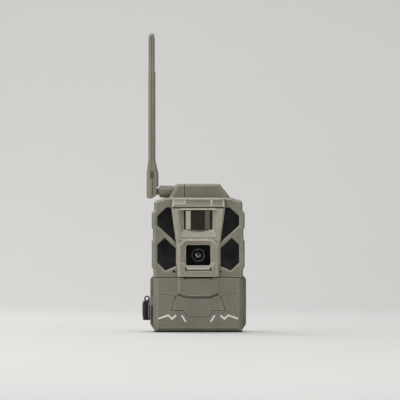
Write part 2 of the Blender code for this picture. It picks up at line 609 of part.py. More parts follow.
# ---------------------------------------------------------------- door
def make_door():
    """Lower cover with its raised centre panel, recessed plate and hinge knuckle."""
    side = mirrored(DOOR_HALF)
    front = mirrored(DOOR_FRONT_HALF)
    door = loft("door", "Y", [(COVER_Y, side), (DOOR_FRONT_Y + 5.0, side), (DOOR_FRONT_Y, front)])
    cut(door, prism("room", "Y", mirrored([(42.9, 3.6), (44.3, 9.0), (44.3, 54.8)]), COVER_Y + 1.0, -31.0),
        prism("front_room", "Y", mirrored([(40.6, 7.0), (40.6, 54.8)]), -30.0, DOOR_FRONT_Y + 2.4))
    panel = mirrored(PANEL_HALF)
    fuse(door, loft("panel", "Y", [(DOOR_FRONT_Y + 1.0, panel), (DOOR_FRONT_Y - 0.5, panel),
                                   (DOOR_FRONT_Y - 1.4, mirrored(PANEL_FACE_HALF))]))
    plate = mirrored(PLATE_HALF)
    face = (DOOR_FRONT_Y - 2.0, DOOR_FRONT_Y + 0.8)
    cut(door, frame("plate_groove", "Y", plate, inset(plate, 1.0), DOOR_FRONT_Y - 0.4, DOOR_FRONT_Y + 1.4),
        prism("under_lip", "Y", mirrored(UNDER_LIP_HALF), DOOR_FRONT_Y - 1.0, DOOR_FRONT_Y + 1.8),
        prism("right_crease", "Y", CREASE, *face), prism("left_crease", "Y", flipped(CREASE), *face),
        box("finger_notch", (-15.4, 15.0), (-38.0, DOOR_FRONT_Y + 1.9), (55.9, 58.0)),
        box("notch_left", (-15.4, -13.6), (-38.0, DOOR_FRONT_Y), (54.8, 57.0)),
        box("notch_right", (13.2, 15.0), (-38.0, DOOR_FRONT_Y), (54.8, 57.0)),
        box("keeper_land", (-48.0, -46.0), (-28.0, -20.0), (26.0, 40.0)),
        *[hinge_barrel(name, (span[0] - GAP, span[1] + GAP), HINGE_RADIUS + GAP)
          for name, span in KNUCKLES.items()])
    web = box("web", (46.0, HINGE_X), (HINGE_Y - HINGE_RADIUS, HINGE_Y - 0.7), DOOR_KNUCKLE)
    fuse(door, hinge_barrel("knuckle", DOOR_KNUCKLE), web)
    return cut(door, hinge_barrel("pin_hole", (18.0, 46.0), HINGE_PIN_RADIUS + GAP))


def make_keeper():
    """Bright steel keeper on the door's latch side."""
    keeper = box("door_keeper", (-51.4, -46.4), (-26.6, -21.4), (28.6, 37.6))
    return cut(keeper, box("step", (-49.4, -45.9), (-27.0, -24.4), (28.0, 38.0)))


def make_hinge_pin():
    """Steel pin through the three hinge knuckles."""
    return hinge_barrel("hinge_pin", (8.8, 55.6), HINGE_PIN_RADIUS)


# ---------------------------------------------------------------- latch
LATCH_EARS = ((12.6, 15.0), (31.0, 33.4))
LATCH_BODY_Z = (15.3, 30.7)
PADLOCK_HOLE = (-54.2, 35.1)


def make_latch_bracket():
    """Bracket on the case side: two ears for the pin and a fixed padlock tab."""
    bracket = box("latch_bracket", (-52.0, -50.9), (-12.0, 10.4), (12.6, 33.4))
    ear = [(-51.5, -8.5), (-51.5, 0.5), (LATCH_X - 1.6, -1.6), (LATCH_X - 2.3, -4.0),
           (LATCH_X - 1.6, -6.4)]
    ears = [prism(f"ear_{i}", "Z", ear, *span) for i, span in enumerate(LATCH_EARS)]
    tab = prism("tab", "Y", padlock_tab_outline(-50.9, 31.2), 7.8, 10.4)
    fuse(bracket, *ears, tab)
    return cut(bracket, rod("pin_hole", "Z", (LATCH_X, LATCH_Y), 1.3, 10.0, 36.0, 12),
               rod("lock_hole", "Y", PADLOCK_HOLE, 1.6, 6.0, 12.0, 12))


def padlock_tab_outline(inner_x, base_z):
    """Rounded tab that stands above the latch, round the padlock hole."""
    hole_x, hole_z = PADLOCK_HOLE
    arc = [(hole_x + 2.9 * math.cos(a), hole_z + 2.9 * math.sin(a))
           for a in (math.radians(angle) for angle in range(0, 181, 30))]
    return [(inner_x, base_z), (inner_x, hole_z - 1.5)] + arc + [(hole_x - 2.9, base_z)]


def make_latch_lever():
    """Lever with a rounded hub, a flared finger end and a slot for the link."""
    hub = rod("latch_lever", "Z", (LATCH_X, LATCH_Y), 2.25, *LATCH_BODY_Z, 20)
    arm = [(LATCH_X - 2.2, LATCH_Y - 0.4), (-58.5, 0.0), (-58.5, 19.0), (-59.2, 24.6), (-57.4, 24.8),
           (-54.6, 20.0), (-52.6, 16.0), (-52.6, LATCH_Y + 0.8)]
    tab = prism("tab", "Y", padlock_tab_outline(-52.6, 30.0), 4.6, 7.2)
    fuse(hub, prism("arm", "Z", arm, *LATCH_BODY_Z), tab)
    return cut(hub, box("link_slot", (-62.0, -55.5), (-9.0, 8.5), (LATCH_Z - 3.2, LATCH_Z + 3.2)),
               rod("pin_hole", "Z", (LATCH_X, LATCH_Y), 1.3, 10.0, 36.0, 12),
               rod("link_pin_hole", "Z", (LINK_X, LINK_Y), 1.1, LATCH_Z - 5.6, LATCH_Z + 5.6, 12),
               rod("lock_hole", "Y", PADLOCK_HOLE, 1.6, 3.0, 9.0, 12))


def make_latch_link():
    """Link with its own trunnions and a broad hook plate beside the keeper."""
    link = rod("latch_link", "Z", (LINK_X, LINK_Y), 1.3, LATCH_Z - 2.9, LATCH_Z + 2.9, 12)
    bar = box("bar", (LINK_X - 1.1, LINK_X + 1.1), (-20.0, LINK_Y), (LATCH_Z - 2.9, LATCH_Z + 2.9))
    trunnions = rod("trunnions", "Z", (LINK_X, LINK_Y), 0.8, LATCH_Z - 5.2, LATCH_Z + 5.2, 12)
    plate = prism("plate", "Z", [(-58.1, -19.0), (-58.1, -26.6), (-56.6, -28.0), (-52.3, -28.0),
                                 (-52.3, -24.6), (-55.0, -19.0)], 12.6, 32.6)
    return fuse(link, bar, trunnions, plate)


def make_latch_pin():
    """Steel pin through the ears and the lever."""
    return rod("latch_pin", "Z", (LATCH_X, LATCH_Y), 1.0, 12.8, 33.2, 12)


# ---------------------------------------------------------------- antenna
def octagon(x_min, x_max, half_depth, chamfer):
    """Cross-section of the antenna in plan, a rectangle with cut corners."""
    low, high = ANTENNA_Y - half_depth, ANTENNA_Y + half_depth
    return [(x_min + chamfer, low), (x_max - chamfer, low), (x_max, low + chamfer),
            (x_max, high - chamfer), (x_max - chamfer, high), (x_min + chamfer, high),
            (x_min, high - chamfer), (x_min, low + chamfer)]


def make_antenna():
    """Paddle antenna whose lower end is a fork round the knuckle's tongue."""
    blade = loft("antenna_blade", "Z", [
        (FORK_Z, octagon(-53.7, -43.4, 5.2, 2.2)),
        (FORK_Z + 1.1, octagon(-54.6, -42.0, 6.2, 2.4)),
        (167.0, octagon(-54.6, -42.0, 6.2, 2.4)),
        (181.0, octagon(-52.8, -45.2, 4.6, 2.0)),
        (274.6, octagon(-52.8, -45.2, 4.6, 2.0)),
        (275.4, octagon(-52.6, -45.9, 4.3, 1.9)),
        (ANTENNA_TOP_Z - 6.0, octagon(-52.6, -45.9, 4.3, 1.9)),
        (ANTENNA_TOP_Z - 2.0, octagon(-51.9, -46.6, 3.7, 1.7)),
        (ANTENNA_TOP_Z - 0.5, octagon(-50.8, -47.7, 2.5, 1.1)),
        (ANTENNA_TOP_Z, octagon(-50.0, -48.5, 1.5, 0.6))])
    depth = (ANTENNA_Y - 8.0, ANTENNA_Y + 8.0)
    toe = [(-48.9, FORK_Z), (-44.1, 143.9), (-44.1, 152.2), (-41.4, 154.6), (-38.0, 154.6),
           (-38.0, 139.0), (-48.9, 139.0)]
    face = ANTENNA_Y - 4.6
    cut(blade, prism("toe", "Y", toe, *depth),
        box("fork", (-53.7, -40.0), (ANTENNA_Y - 2.5, ANTENNA_Y + 2.5), (139.0, 152.4)),
        rod("pin_hole", "Y", (TILT_X, ANTENNA_Z), 1.6, *depth, 14),
        box("slot", (-50.7, -46.6), (ANTENNA_Y - 8.0, ANTENNA_Y - 5.2), (161.6, 169.6)),
        box("toe_groove", (-48.9, -47.7), (face - 4.0, ANTENNA_Y - 5.6), (144.6, 160.6)),
        box("lower_groove", (-50.0, -48.6), (face - 4.0, face + 0.9), (180.0, 279.0)),
        box("fine_groove", (-47.9, -47.4), (face - 4.0, face + 0.5), (180.0, 273.0)),
        box("upper_groove", (-50.0, -48.6), (face - 4.0, face + 1.1), (282.5, 304.5)),
        box("tip_recess", (-50.1, -48.3), (face - 4.0, face + 1.3), (306.5, 311.5)))
    pin = rod("antenna_pin", "Y", (TILT_X, ANTENNA_Z), 1.3, ANTENNA_Y - 5.7, ANTENNA_Y + 5.7, 14)
    return blade, pin


def make_knuckle():
    """Stub in the nut, round collar and the flat tongue that the antenna tilts on."""
    knuckle = turned("antenna_knuckle", "X", (ANTENNA_Y, ANTENNA_Z), [
        (-41.9, 4.3), (-41.6, 4.7), (-41.3, 4.7), (-41.3, 3.2), (-38.6, 3.2)], 20)
    tongue = box("tongue", (TILT_X, -41.7), (ANTENNA_Y - 2.2, ANTENNA_Y + 2.2),
                 (ANTENNA_Z - 3.4, ANTENNA_Z + 3.4))
    end = rod("end", "Y", (TILT_X, ANTENNA_Z), 3.4, ANTENNA_Y - 2.2, ANTENNA_Y + 2.2, 20)
    fuse(knuckle, tongue, end)
    return cut(knuckle, rod("pin_hole", "Y", (TILT_X, ANTENNA_Z), 1.6, -8.0, 12.0, 14))


def make_connector():
    """Coupling nut with grip flats, and the fixed connector that it turns on."""
    nut = turned("antenna_nut", "X", (ANTENNA_Y, ANTENNA_Z), [
        (-41.0, 5.6), (-40.4, 6.2), (-26.8, 6.2), (-25.9, 5.3), (-25.9, 3.6), (-41.0, 3.6)],
        24, loop=True)
    jack = turned("antenna_jack", "X", (ANTENNA_Y, ANTENNA_Z), [
        (-38.0, 2.6), (-37.4, 3.0), (-20.8, 3.0), (-20.8, 4.0), (-18.8, 4.0), (-18.8, 2.0),
        (-15.5, 2.0)], 16)
    return nut, jack


def make_coax():
    """Pigtail from the connector down to the main board, held inside the whole way."""
    route = [(-15.0, ANTENNA_Z), (-13.2, ANTENNA_Z - 0.4), (-12.2, ANTENNA_Z - 1.8),
             (-12.0, ANTENNA_Z - 3.8), (-12.0, 140.0), (-12.0, 137.2)]
    data = bpy.data.curves.new("antenna_coax", "CURVE")
    data.dimensions = "3D"
    data.bevel_depth = 0.7 * MM
    data.bevel_resolution = 2
    data.use_fill_caps = True
    spline = data.splines.new("POLY")
    spline.points.add(len(route) - 1)
    for point, (x, z) in zip(spline.points, route):
        point.co = (x * MM, ANTENNA_Y * MM, z * MM, 1.0)
    coax = bpy.data.objects.new("antenna_coax", data)
    bpy.context.scene.collection.objects.link(coax)
    bpy.context.view_layer.update()
    mesh = bpy.data.meshes.new_from_object(coax.evaluated_get(bpy.context.evaluated_depsgraph_get()))
    bpy.data.objects.remove(coax)
    solid = bpy.data.objects.new("antenna_coax", mesh)
    bpy.context.scene.collection.objects.link(solid)
    return solid


# ---------------------------------------------------------------- assembly
def build():
    """Make every piece and hang it under the empty of its moving body."""
    for leftover in list(bpy.data.objects):
        bpy.data.objects.remove(leftover)
    materials = {name: make_material(name) for name in MATERIALS}
    root = add_group("body_root")
    door = add_group("body_door", root, (HINGE_X, HINGE_Y, 0.0))
    lever = add_group("body_latch_lever", root, (LATCH_X, LATCH_Y, LATCH_Z))
    link = add_group("body_latch_link", lever, (LINK_X, LINK_Y, LATCH_Z))
    nut = add_group("body_antenna_nut", root, (-34.0, ANTENNA_Y, ANTENNA_Z))
    swivel = add_group("body_antenna_swivel", root, (-42.0, ANTENNA_Y, ANTENNA_Z))
    tilt = add_group("body_antenna", swivel, (TILT_X, ANTENNA_Y, ANTENNA_Z))
    cover = add_group("body_plug_cover", root, (50.1, DC_Y + 7.2, DC_Z))
    filter_slide = add_group("body_filter", root, (0.0, -13.9, LENS_Z))
    switch = add_group("body_power_switch", root, (SWITCH[0], -14.0, SWITCH[1]))
    card = add_group("body_card", root, (CARD_X, -14.0, (CARD_Z[0] + CARD_Z[1]) / 2))

    def add(piece, group, material):
        finish(piece, group, materials, material)

    add(make_rear_case(), root, "shell_plastic")
    add(make_front_shell(), root, "shell_plastic")
    for piece in make_pod():
        add(piece, root, "shell_plastic")
    add(make_visor(), root, "shell_plastic")
    add(make_centre_bezel(), root, "shell_plastic")
    add(make_lens_bezel(), root, "shell_plastic")
    for window in make_lamp_windows():
        add(window, root, "black_gloss")
    lens, sensor = make_detector()
    add(lens, root, "detector_lens")
    add(sensor, root, "steel")
    (window, barrel, element, holder, driver, board), slide = make_optics()
    add(window, root, "black_gloss")
    add(barrel, root, "black_plastic")
    add(element, root, "lens_glass")
    add(holder, root, "inner_plastic")
    add(driver, root, "steel")
    add(board, root, "circuit_board")
    add(slide, filter_slide, "lens_glass")
    add(make_small_sensors(), root, "black_gloss")
    board, radio, board_screws = make_main_board()
    for piece in (board, *make_lamps()):
        add(piece, root, "circuit_board")
    for piece in (radio, *board_screws, *make_case_screws()):
        add(piece, root, "steel")
    for piece in make_gaskets():
        add(piece, root, "rubber")
    tray, cells, contact, tab = make_battery()
    add(tray, root, "inner_plastic")
    add(cells, root, "cell_wrap")
    add(contact, root, "steel")
    add(tab, root, "rubber")
    (panel, board, socket), knob, buttons, sd_card = make_controls()
    add(panel, root, "inner_plastic")
    add(board, root, "circuit_board")
    add(socket, root, "steel")
    add(knob, switch, "black_plastic")
    for button in buttons:
        x, z = BUTTONS[button.name]
        group = add_group(f"body_{button.name}", root, (x, -12.0, z))
        add(button, group, "rubber")
    add(sd_card, card, "card_plastic")
    jack, plug_cover = make_power_inlet()
    add(jack, root, "black_plastic")
    add(plug_cover, cover, "rubber")
    add(make_tripod_insert(), root, "brass")
    add(make_door(), door, "shell_plastic")
    add(make_keeper(), door, "steel")
    add(make_hinge_pin(), root, "steel")
    add(make_latch_bracket(), root, "black_plastic")
    add(make_latch_pin(), root, "steel")
    add(make_latch_lever(), lever, "black_plastic")
    add(make_latch_link(), link, "black_plastic")
    coupling, jack = make_connector()
    add(coupling, nut, "shell_plastic")
    add(jack, root, "brass")
    add(make_knuckle(), swivel, "shell_plastic")
    blade, pin = make_antenna()
    add(blade, tilt, "shell_plastic")
    add(pin, tilt, "steel")
    add(make_coax(), root, "rubber")


build()
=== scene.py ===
"""Looks for the trail camera: materials, fine detail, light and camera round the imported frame."""
import math

import bmesh
import bpy
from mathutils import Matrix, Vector


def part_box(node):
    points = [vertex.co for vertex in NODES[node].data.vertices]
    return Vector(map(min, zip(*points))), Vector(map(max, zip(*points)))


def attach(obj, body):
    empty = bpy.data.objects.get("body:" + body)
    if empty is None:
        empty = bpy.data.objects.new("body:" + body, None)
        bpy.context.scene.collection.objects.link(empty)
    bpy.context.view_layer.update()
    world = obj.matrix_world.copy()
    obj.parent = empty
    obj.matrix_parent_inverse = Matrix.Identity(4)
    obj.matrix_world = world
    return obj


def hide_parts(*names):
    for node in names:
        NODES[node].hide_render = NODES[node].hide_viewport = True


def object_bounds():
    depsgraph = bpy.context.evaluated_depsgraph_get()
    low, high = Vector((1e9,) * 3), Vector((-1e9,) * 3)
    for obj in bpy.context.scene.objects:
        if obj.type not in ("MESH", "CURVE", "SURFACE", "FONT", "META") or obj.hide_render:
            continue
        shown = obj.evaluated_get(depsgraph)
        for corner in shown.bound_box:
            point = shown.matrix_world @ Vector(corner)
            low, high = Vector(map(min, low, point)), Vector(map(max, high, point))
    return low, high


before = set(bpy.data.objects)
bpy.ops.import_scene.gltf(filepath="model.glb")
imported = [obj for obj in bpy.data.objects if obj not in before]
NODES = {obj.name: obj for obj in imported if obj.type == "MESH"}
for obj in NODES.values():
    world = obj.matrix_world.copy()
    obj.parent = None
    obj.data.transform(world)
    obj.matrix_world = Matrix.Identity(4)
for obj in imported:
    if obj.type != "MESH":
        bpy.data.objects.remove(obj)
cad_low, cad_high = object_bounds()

MM = 0.001

# ---------------------------------------------------------------- colours, linear
OLIVE = (0.196, 0.184, 0.150)
OLIVE_DARK = (0.085, 0.078, 0.050)
ACCENT = (0.66, 0.62, 0.54)
NEAR_BLACK = (0.006, 0.006, 0.0065)
DARK_GREY = (0.035, 0.035, 0.036)
WARM = (1.0, 0.96, 0.88)
WHITE = (1.0, 1.0, 1.0)


def scaled(colour, factor, lift=0.0):
    """A colour made lighter or darker; no channel passes 1."""
    return tuple(min(channel * factor + lift, 1.0) for channel in colour)


# ---------------------------------------------------------------- node helpers
class Graph:
    """A material's node tree with short calls for making and joining nodes."""

    def __init__(self, name):
        self.material = bpy.data.materials.new(name)
        self.material.use_nodes = True
        self.tree = self.material.node_tree
        self.shader = self.tree.nodes["Principled BSDF"]
        self.space = self.add("ShaderNodeTexCoord").outputs["Object"]

    def add(self, kind, **values):
        node = self.tree.nodes.new(kind)
        for key, value in values.items():
            setattr(node, key, value)
        return node

    def link(self, source, target):
        self.tree.links.new(source, target)

    def noise(self, scale, detail=3.0, space=None):
        node = self.add("ShaderNodeTexNoise")
        node.inputs["Scale"].default_value = scale
        node.inputs["Detail"].default_value = detail
        node.inputs["Roughness"].default_value = 0.55
        self.link(space or self.space, node.inputs["Vector"])
        return node.outputs["Fac"]

    def ramp(self, value, low, high, at_low=0.0, at_high=1.0):
        """Map the range low to high onto at_low to at_high, and clamp."""
        node = self.add("ShaderNodeMapRange")
        node.inputs["From Min"].default_value = low
        node.inputs["From Max"].default_value = high
        node.inputs["To Min"].default_value = at_low
        node.inputs["To Max"].default_value = at_high
        self.link(value, node.inputs["Value"])
        return node.outputs["Result"]

    def mix(self, factor, first, second):
        """Blend two colours; each is a tuple or another node's output."""
        node = self.add("ShaderNodeMix", data_type="RGBA")
        for socket, colour in ((node.inputs[6], first), (node.inputs[7], second)):
            if isinstance(colour, tuple):
                socket.default_value = (*colour, 1.0)
            else:
                self.link(colour, socket)
        self.link(factor, node.inputs[0])
        return node.outputs[2]

    def math(self, operation, first, second):
        node = self.add("ShaderNodeMath", operation=operation)
        for socket, value in zip(node.inputs, (first, second)):
            self.link(value, socket)
        return node.outputs[0]

    def feed(self, socket, source):
        """Link a varying colour or number to one of the shader's sockets."""
        self.link(source, self.shader.inputs[socket])

    def fix(self, socket, value):
        """Set one of the shader's sockets to a value that is the same all over."""
        self.shader.inputs[socket].default_value = value

    def bump(self, height, strength, distance):
        node = self.add("ShaderNodeBump")
        node.inputs["Strength"].default_value = strength
        node.inputs["Distance"].default_value = distance
        self.link(height, node.inputs["Height"])
        self.feed("Normal", node.outputs["Normal"])

    def edges(self, radius):
        """About 1 on edges, where wear and a painted highlight are laid, and 0 on flat faces."""
        bevel = self.add("ShaderNodeBevel", samples=4)
        bevel.inputs["Radius"].default_value = radius
        geometry = self.add("ShaderNodeNewGeometry")
        dot = self.add("ShaderNodeVectorMath", operation="DOT_PRODUCT")
        self.link(bevel.outputs["Normal"], dot.inputs[0])
        self.link(geometry.outputs["Normal"], dot.inputs[1])
        return self.ramp(dot.outputs["Value"], 0.998, 0.93)

    def hollows(self, distance):
        """About 1 in corners and grooves and 0 on open faces."""
        shade = self.add("ShaderNodeAmbientOcclusion", samples=8)
        shade.inputs["Distance"].default_value = distance
        return self.ramp(shade.outputs["AO"], 0.75, 0.25)


# ---------------------------------------------------------------- materials
EDGE_HIGHLIGHT_AND_WEAR_RADIUS = 1.5 * MM          # how far wear and the painted edge highlight reach from an edge
DUST_AND_SHADE_REACH = 3.0 * MM           # how near two faces stand where dust and painted shade are laid
# Dark brown laid into the olive mouldings' corners and grooves: dust and painted shade.
SHELL_DUST_AND_SHADE = (0.075, 0.068, 0.052)


def moulded_plastic(name, colour, roughness=0.48, grain=1.0, dust_and_shade=SHELL_DUST_AND_SHADE, shine=0.42, edge_highlight_and_wear=1.0, rim=2.0):
    """Fine-textured moulding with mottled colour, edges lightened by wear and a painted highlight, and
    corners and grooves that take the dust and shade colour.

    The edge highlight and wear amount is how much of an edge is lightened, partly by wear and partly by a
    painted highlight, and rim how much lighter than the colour it is there. The dust and shade colour goes
    into corners and grooves; on the olive mouldings it is darker, painted shade as well as dust.
    """
    g = Graph(name)
    base = g.mix(g.ramp(g.noise(42.0, 4.0), 0.35, 0.65), scaled(colour, 0.92), scaled(colour, 1.08))
    # Edges lighten towards rim times the colour: wear, and a painted highlight where the rims would catch the
    # light.
    highlight_and_wear = g.math("MULTIPLY", g.edges(EDGE_HIGHLIGHT_AND_WEAR_RADIUS), g.ramp(g.noise(260.0), 0.36, 0.60, 0.5 * edge_highlight_and_wear, edge_highlight_and_wear))
    base = g.mix(highlight_and_wear, base, scaled(colour, rim, 0.002))
    # Corners and grooves found by ambient occlusion take the dust colour; where it is darker than the
    # moulding, as on the olive, it is painted shade as well as dust.
    dust_and_shade_mask = g.math("MULTIPLY", g.hollows(DUST_AND_SHADE_REACH), g.ramp(g.noise(120.0), 0.35, 0.7, 0.65, 0.95))
    g.feed("Base Color", g.mix(dust_and_shade_mask, base, dust_and_shade))
    g.feed("Roughness", g.ramp(g.noise(180.0), 0.3, 0.7, roughness - 0.06, roughness + 0.07))
    spark = g.add("ShaderNodeTexVoronoi", feature="SMOOTH_F1")
    spark.inputs["Scale"].default_value = 2300.0
    g.link(g.space, spark.inputs["Vector"])
    g.bump(g.math("ADD", spark.outputs["Distance"], g.noise(1500.0, 2.0)), 0.28 * grain, 0.12 * MM)
    g.fix("Specular IOR Level", shine)
    return g.material


def polished_black(name, colour):
    """Infrared-black window plastic with faint wipe marks."""
    g = Graph(name)
    g.feed("Base Color", g.mix(g.ramp(g.noise(35.0), 0.35, 0.65), colour, scaled(colour, 1.6, 0.002)))
    g.feed("Roughness", g.ramp(g.noise(70.0, 5.0), 0.35, 0.75, 0.08, 0.18))
    g.bump(g.noise(30.0, 1.0), 0.04, 0.3 * MM)
    return g.material


def brushed_metal(name, colour, roughness=0.3):
    """Plated or machined metal with fine drag lines."""
    g = Graph(name)
    mapping = g.add("ShaderNodeMapping")
    mapping.inputs["Scale"].default_value = (1.0, 1.0, 24.0)
    g.link(g.space, mapping.inputs["Vector"])
    lines = g.noise(420.0, 4.0, space=mapping.outputs["Vector"])
    g.feed("Base Color", g.mix(lines, scaled(colour, 0.82), colour))
    g.feed("Roughness", g.ramp(lines, 0.3, 0.7, roughness - 0.06, roughness + 0.12))
    g.bump(lines, 0.10, 0.05 * MM)
    g.fix("Metallic", 1.0)
    return g.material


def rubber(name, colour):
    """Matt rubber with a soft grain."""
    g = Graph(name)
    g.feed("Base Color", g.mix(g.ramp(g.noise(90.0), 0.3, 0.7), colour, scaled(colour, 1.5)))
    g.feed("Roughness", g.ramp(g.noise(300.0), 0.3, 0.7, 0.72, 0.88))
    g.bump(g.noise(1400.0), 0.2, 0.1 * MM)
    return g.material


def cell_wrap(name):
    """Two-tone wrapped cells with a bare metal end; the bands lie across the cells' length."""
    g = Graph(name)
    parts = g.add("ShaderNodeSeparateXYZ")
    g.link(g.space, parts.inputs["Vector"])
    low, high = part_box("battery_cells")
    length = high.y - low.y
    copper = g.ramp(parts.outputs["Y"], low.y + 0.70 * length, low.y + 0.705 * length)
    bare = g.ramp(parts.outputs["Y"], low.y + 0.052 * length, low.y + 0.048 * length)
    wrap = g.mix(copper, (0.012, 0.013, 0.016), (0.42, 0.19, 0.06))
    grime = g.mix(g.ramp(g.noise(90.0), 0.4, 0.7, 0.0, 0.4), wrap, (0.05, 0.05, 0.05))
    g.feed("Base Color", g.mix(bare, grime, (0.62, 0.62, 0.60)))
    g.feed("Metallic", g.ramp(bare, 0.0, 1.0, 0.2, 1.0))
    g.feed("Roughness", g.ramp(g.noise(160.0), 0.3, 0.7, 0.22, 0.38))
    g.bump(g.noise(200.0), 0.05, 0.05 * MM)
    return g.material


def circuit_board(name):
    """Green solder mask with copper tracks showing through."""
    g = Graph(name)
    tracks = g.add("ShaderNodeTexBrick")
    tracks.inputs["Scale"].default_value = 260.0
    tracks.inputs["Mortar Size"].default_value = 0.06
    turn = g.add("ShaderNodeMapping")
    turn.inputs["Rotation"].default_value = (math.radians(90.0), 0.0, 0.0)
    g.link(g.space, turn.inputs["Vector"])
    g.link(turn.outputs["Vector"], tracks.inputs["Vector"])
    mask = g.mix(g.noise(60.0), (0.012, 0.075, 0.030), (0.018, 0.10, 0.042))
    copper = g.ramp(tracks.outputs["Fac"], 0.0, 1.0, 0.0, 0.35)
    g.feed("Base Color", g.mix(copper, mask, (0.04, 0.19, 0.08)))
    g.feed("Roughness", g.ramp(g.noise(200.0), 0.3, 0.7, 0.32, 0.42))
    g.bump(tracks.outputs["Fac"], 0.15, 0.05 * MM)
    return g.material


def detector_plastic(name, colour):
    """Glossy dark brown lens film; a clear coat gives the long highlights."""
    g = Graph(name)
    g.feed("Base Color", g.mix(g.ramp(g.noise(25.0), 0.35, 0.65), colour, scaled(colour, 1.25)))
    g.feed("Roughness", g.ramp(g.noise(50.0, 4.0), 0.3, 0.7, 0.05, 0.11))
    g.bump(g.noise(60.0, 1.0), 0.03, 0.2 * MM)
    g.fix("Specular IOR Level", 1.0)
    g.fix("Specular Tint", (1.0, 0.95, 0.85, 1.0))
    g.fix("Coat Weight", 1.0)
    g.fix("Coat Roughness", 0.04)
    return g.material


def smoked_pane(name, colour):
    """Thin dark pane that the lens shows through."""
    g = Graph(name)
    g.feed("Base Color", g.mix(g.noise(40.0), colour, scaled(colour, 1.5)))
    g.feed("Roughness", g.ramp(g.noise(80.0, 4.0), 0.3, 0.7, 0.02, 0.07))
    g.bump(g.noise(30.0, 1.0), 0.02, 0.2 * MM)
    g.fix("Alpha", 0.1)
    return g.material


def coated_glass(name, tint):
    """Dark lens glass with a bluish coating."""
    g = Graph(name)
    g.feed("Base Color", g.mix(g.noise(30.0), tint, scaled(tint, 1.6)))
    g.feed("Roughness", g.ramp(g.noise(120.0), 0.3, 0.7, 0.02, 0.05))
    g.bump(g.noise(20.0, 1.0), 0.01, 0.1 * MM)
    g.fix("IOR", 2.0)
    g.fix("Specular IOR Level", 1.0)
    g.fix("Coat Weight", 1.0)
    g.fix("Coat Tint", (0.85, 0.88, 1.0, 1.0))
    return g.material


def clear_glass(name, tint):
    """Clear filter glass with a faint tint."""
    g = Graph(name)
    g.feed("Base Color", g.mix(g.noise(60.0), tint, scaled(tint, 0.9)))
    g.feed("Roughness", g.ramp(g.noise(90.0), 0.3, 0.7, 0.01, 0.04))
    g.fix("Transmission Weight", 0.9)
    g.fix("IOR", 1.5)
    return g.material


# The stronger rims on the shell, the brow ribs and the column paint brighter edge highlights.
SHELL = moulded_plastic("shell_plastic", scaled(OLIVE, 1.05), rim=2.3)
# The door is a darker copy of the olive: painted shade, as the door gets less light than the upper shell.
DOOR = moulded_plastic("door_plastic", scaled(OLIVE, 0.94))
# A much lighter copy of the olive for the brow's ribs and pad: painted highlight, for pads that catch the
# light.
SHELL_LIGHT = moulded_plastic("shell_plastic_light", scaled(OLIVE, 1.95), rim=2.3)
# A lighter copy of the olive for the visor and bezels: painted light, for faces that tilt up to the top
# light; its rim paints a stronger edge highlight.
COLUMN = moulded_plastic("column_plastic", scaled(OLIVE, 1.36), rim=2.5)
# A darker copy of the olive for the nut: painted shade, against the light its round top catches.
NUT = moulded_plastic("nut_plastic", scaled(OLIVE, 0.8))
ANTENNA = moulded_plastic("antenna_plastic", OLIVE, roughness=0.36, grain=0.5, shine=0.6)
# A lighter copy of the olive for the antenna's rib: painted highlight, for the light band along the blade.
RIB = moulded_plastic("rib_plastic", scaled(OLIVE, 1.3), roughness=0.36, grain=0.5, edge_highlight_and_wear=0.15)
# A much lighter copy of the olive for the knuckle: painted light, as the knuckle sits in shade.
KNUCKLE = moulded_plastic("knuckle_plastic", scaled(OLIVE, 1.7), edge_highlight_and_wear=0.5)
# Dark olive for tiles in the antenna's slot and groove: painted shade.
SLOT_SHADE = moulded_plastic("slot_shade_plastic", OLIVE_DARK, roughness=0.5, grain=0.5, dust_and_shade=(0.10, 0.09, 0.06))
ACCENT_PAINT = moulded_plastic("accent_inlay", ACCENT, roughness=0.45, grain=0.4, dust_and_shade=(0.30, 0.28, 0.24))
BLACK = moulded_plastic("black_plastic", (0.011, 0.011, 0.0115), roughness=0.42, grain=0.6,
                        dust_and_shade=(0.02, 0.019, 0.018), shine=0.3)
INNER = moulded_plastic("inner_plastic", DARK_GREY, roughness=0.5, dust_and_shade=(0.06, 0.06, 0.055))
CARD = moulded_plastic("card_plastic", (0.02, 0.03, 0.07), roughness=0.35, grain=0.4,
                       dust_and_shade=(0.05, 0.05, 0.06))
BAFFLE = moulded_plastic("lens_baffle", (0.002, 0.002, 0.002), roughness=0.6, grain=0.3,
                         dust_and_shade=(0.003, 0.003, 0.003), shine=0.06)
RING = moulded_plastic("ring_plastic", (0.045, 0.045, 0.048), roughness=0.35, grain=0.3,
                       dust_and_shade=(0.05, 0.05, 0.05))
WINDOW = polished_black("lamp_window", NEAR_BLACK)
DETECTOR = detector_plastic("detector_window", (0.024, 0.017, 0.013))
PANE = smoked_pane("lens_pane", (0.004, 0.004, 0.005))
COATED = coated_glass("coated_lens", (0.012, 0.010, 0.020))
GLASS = clear_glass("lens_glass", (0.75, 0.80, 0.88))
STEEL = brushed_metal("plated_steel", (0.60, 0.60, 0.58))
NICKEL = brushed_metal("dark_nickel", (0.16, 0.155, 0.145), roughness=0.4)
BRASS = brushed_metal("machined_brass", (0.72, 0.50, 0.22), roughness=0.25)
RUBBER = rubber("seal_rubber", (0.022, 0.022, 0.022))
BOARD = circuit_board("solder_mask")
CELLS = cell_wrap("cell_wrap")


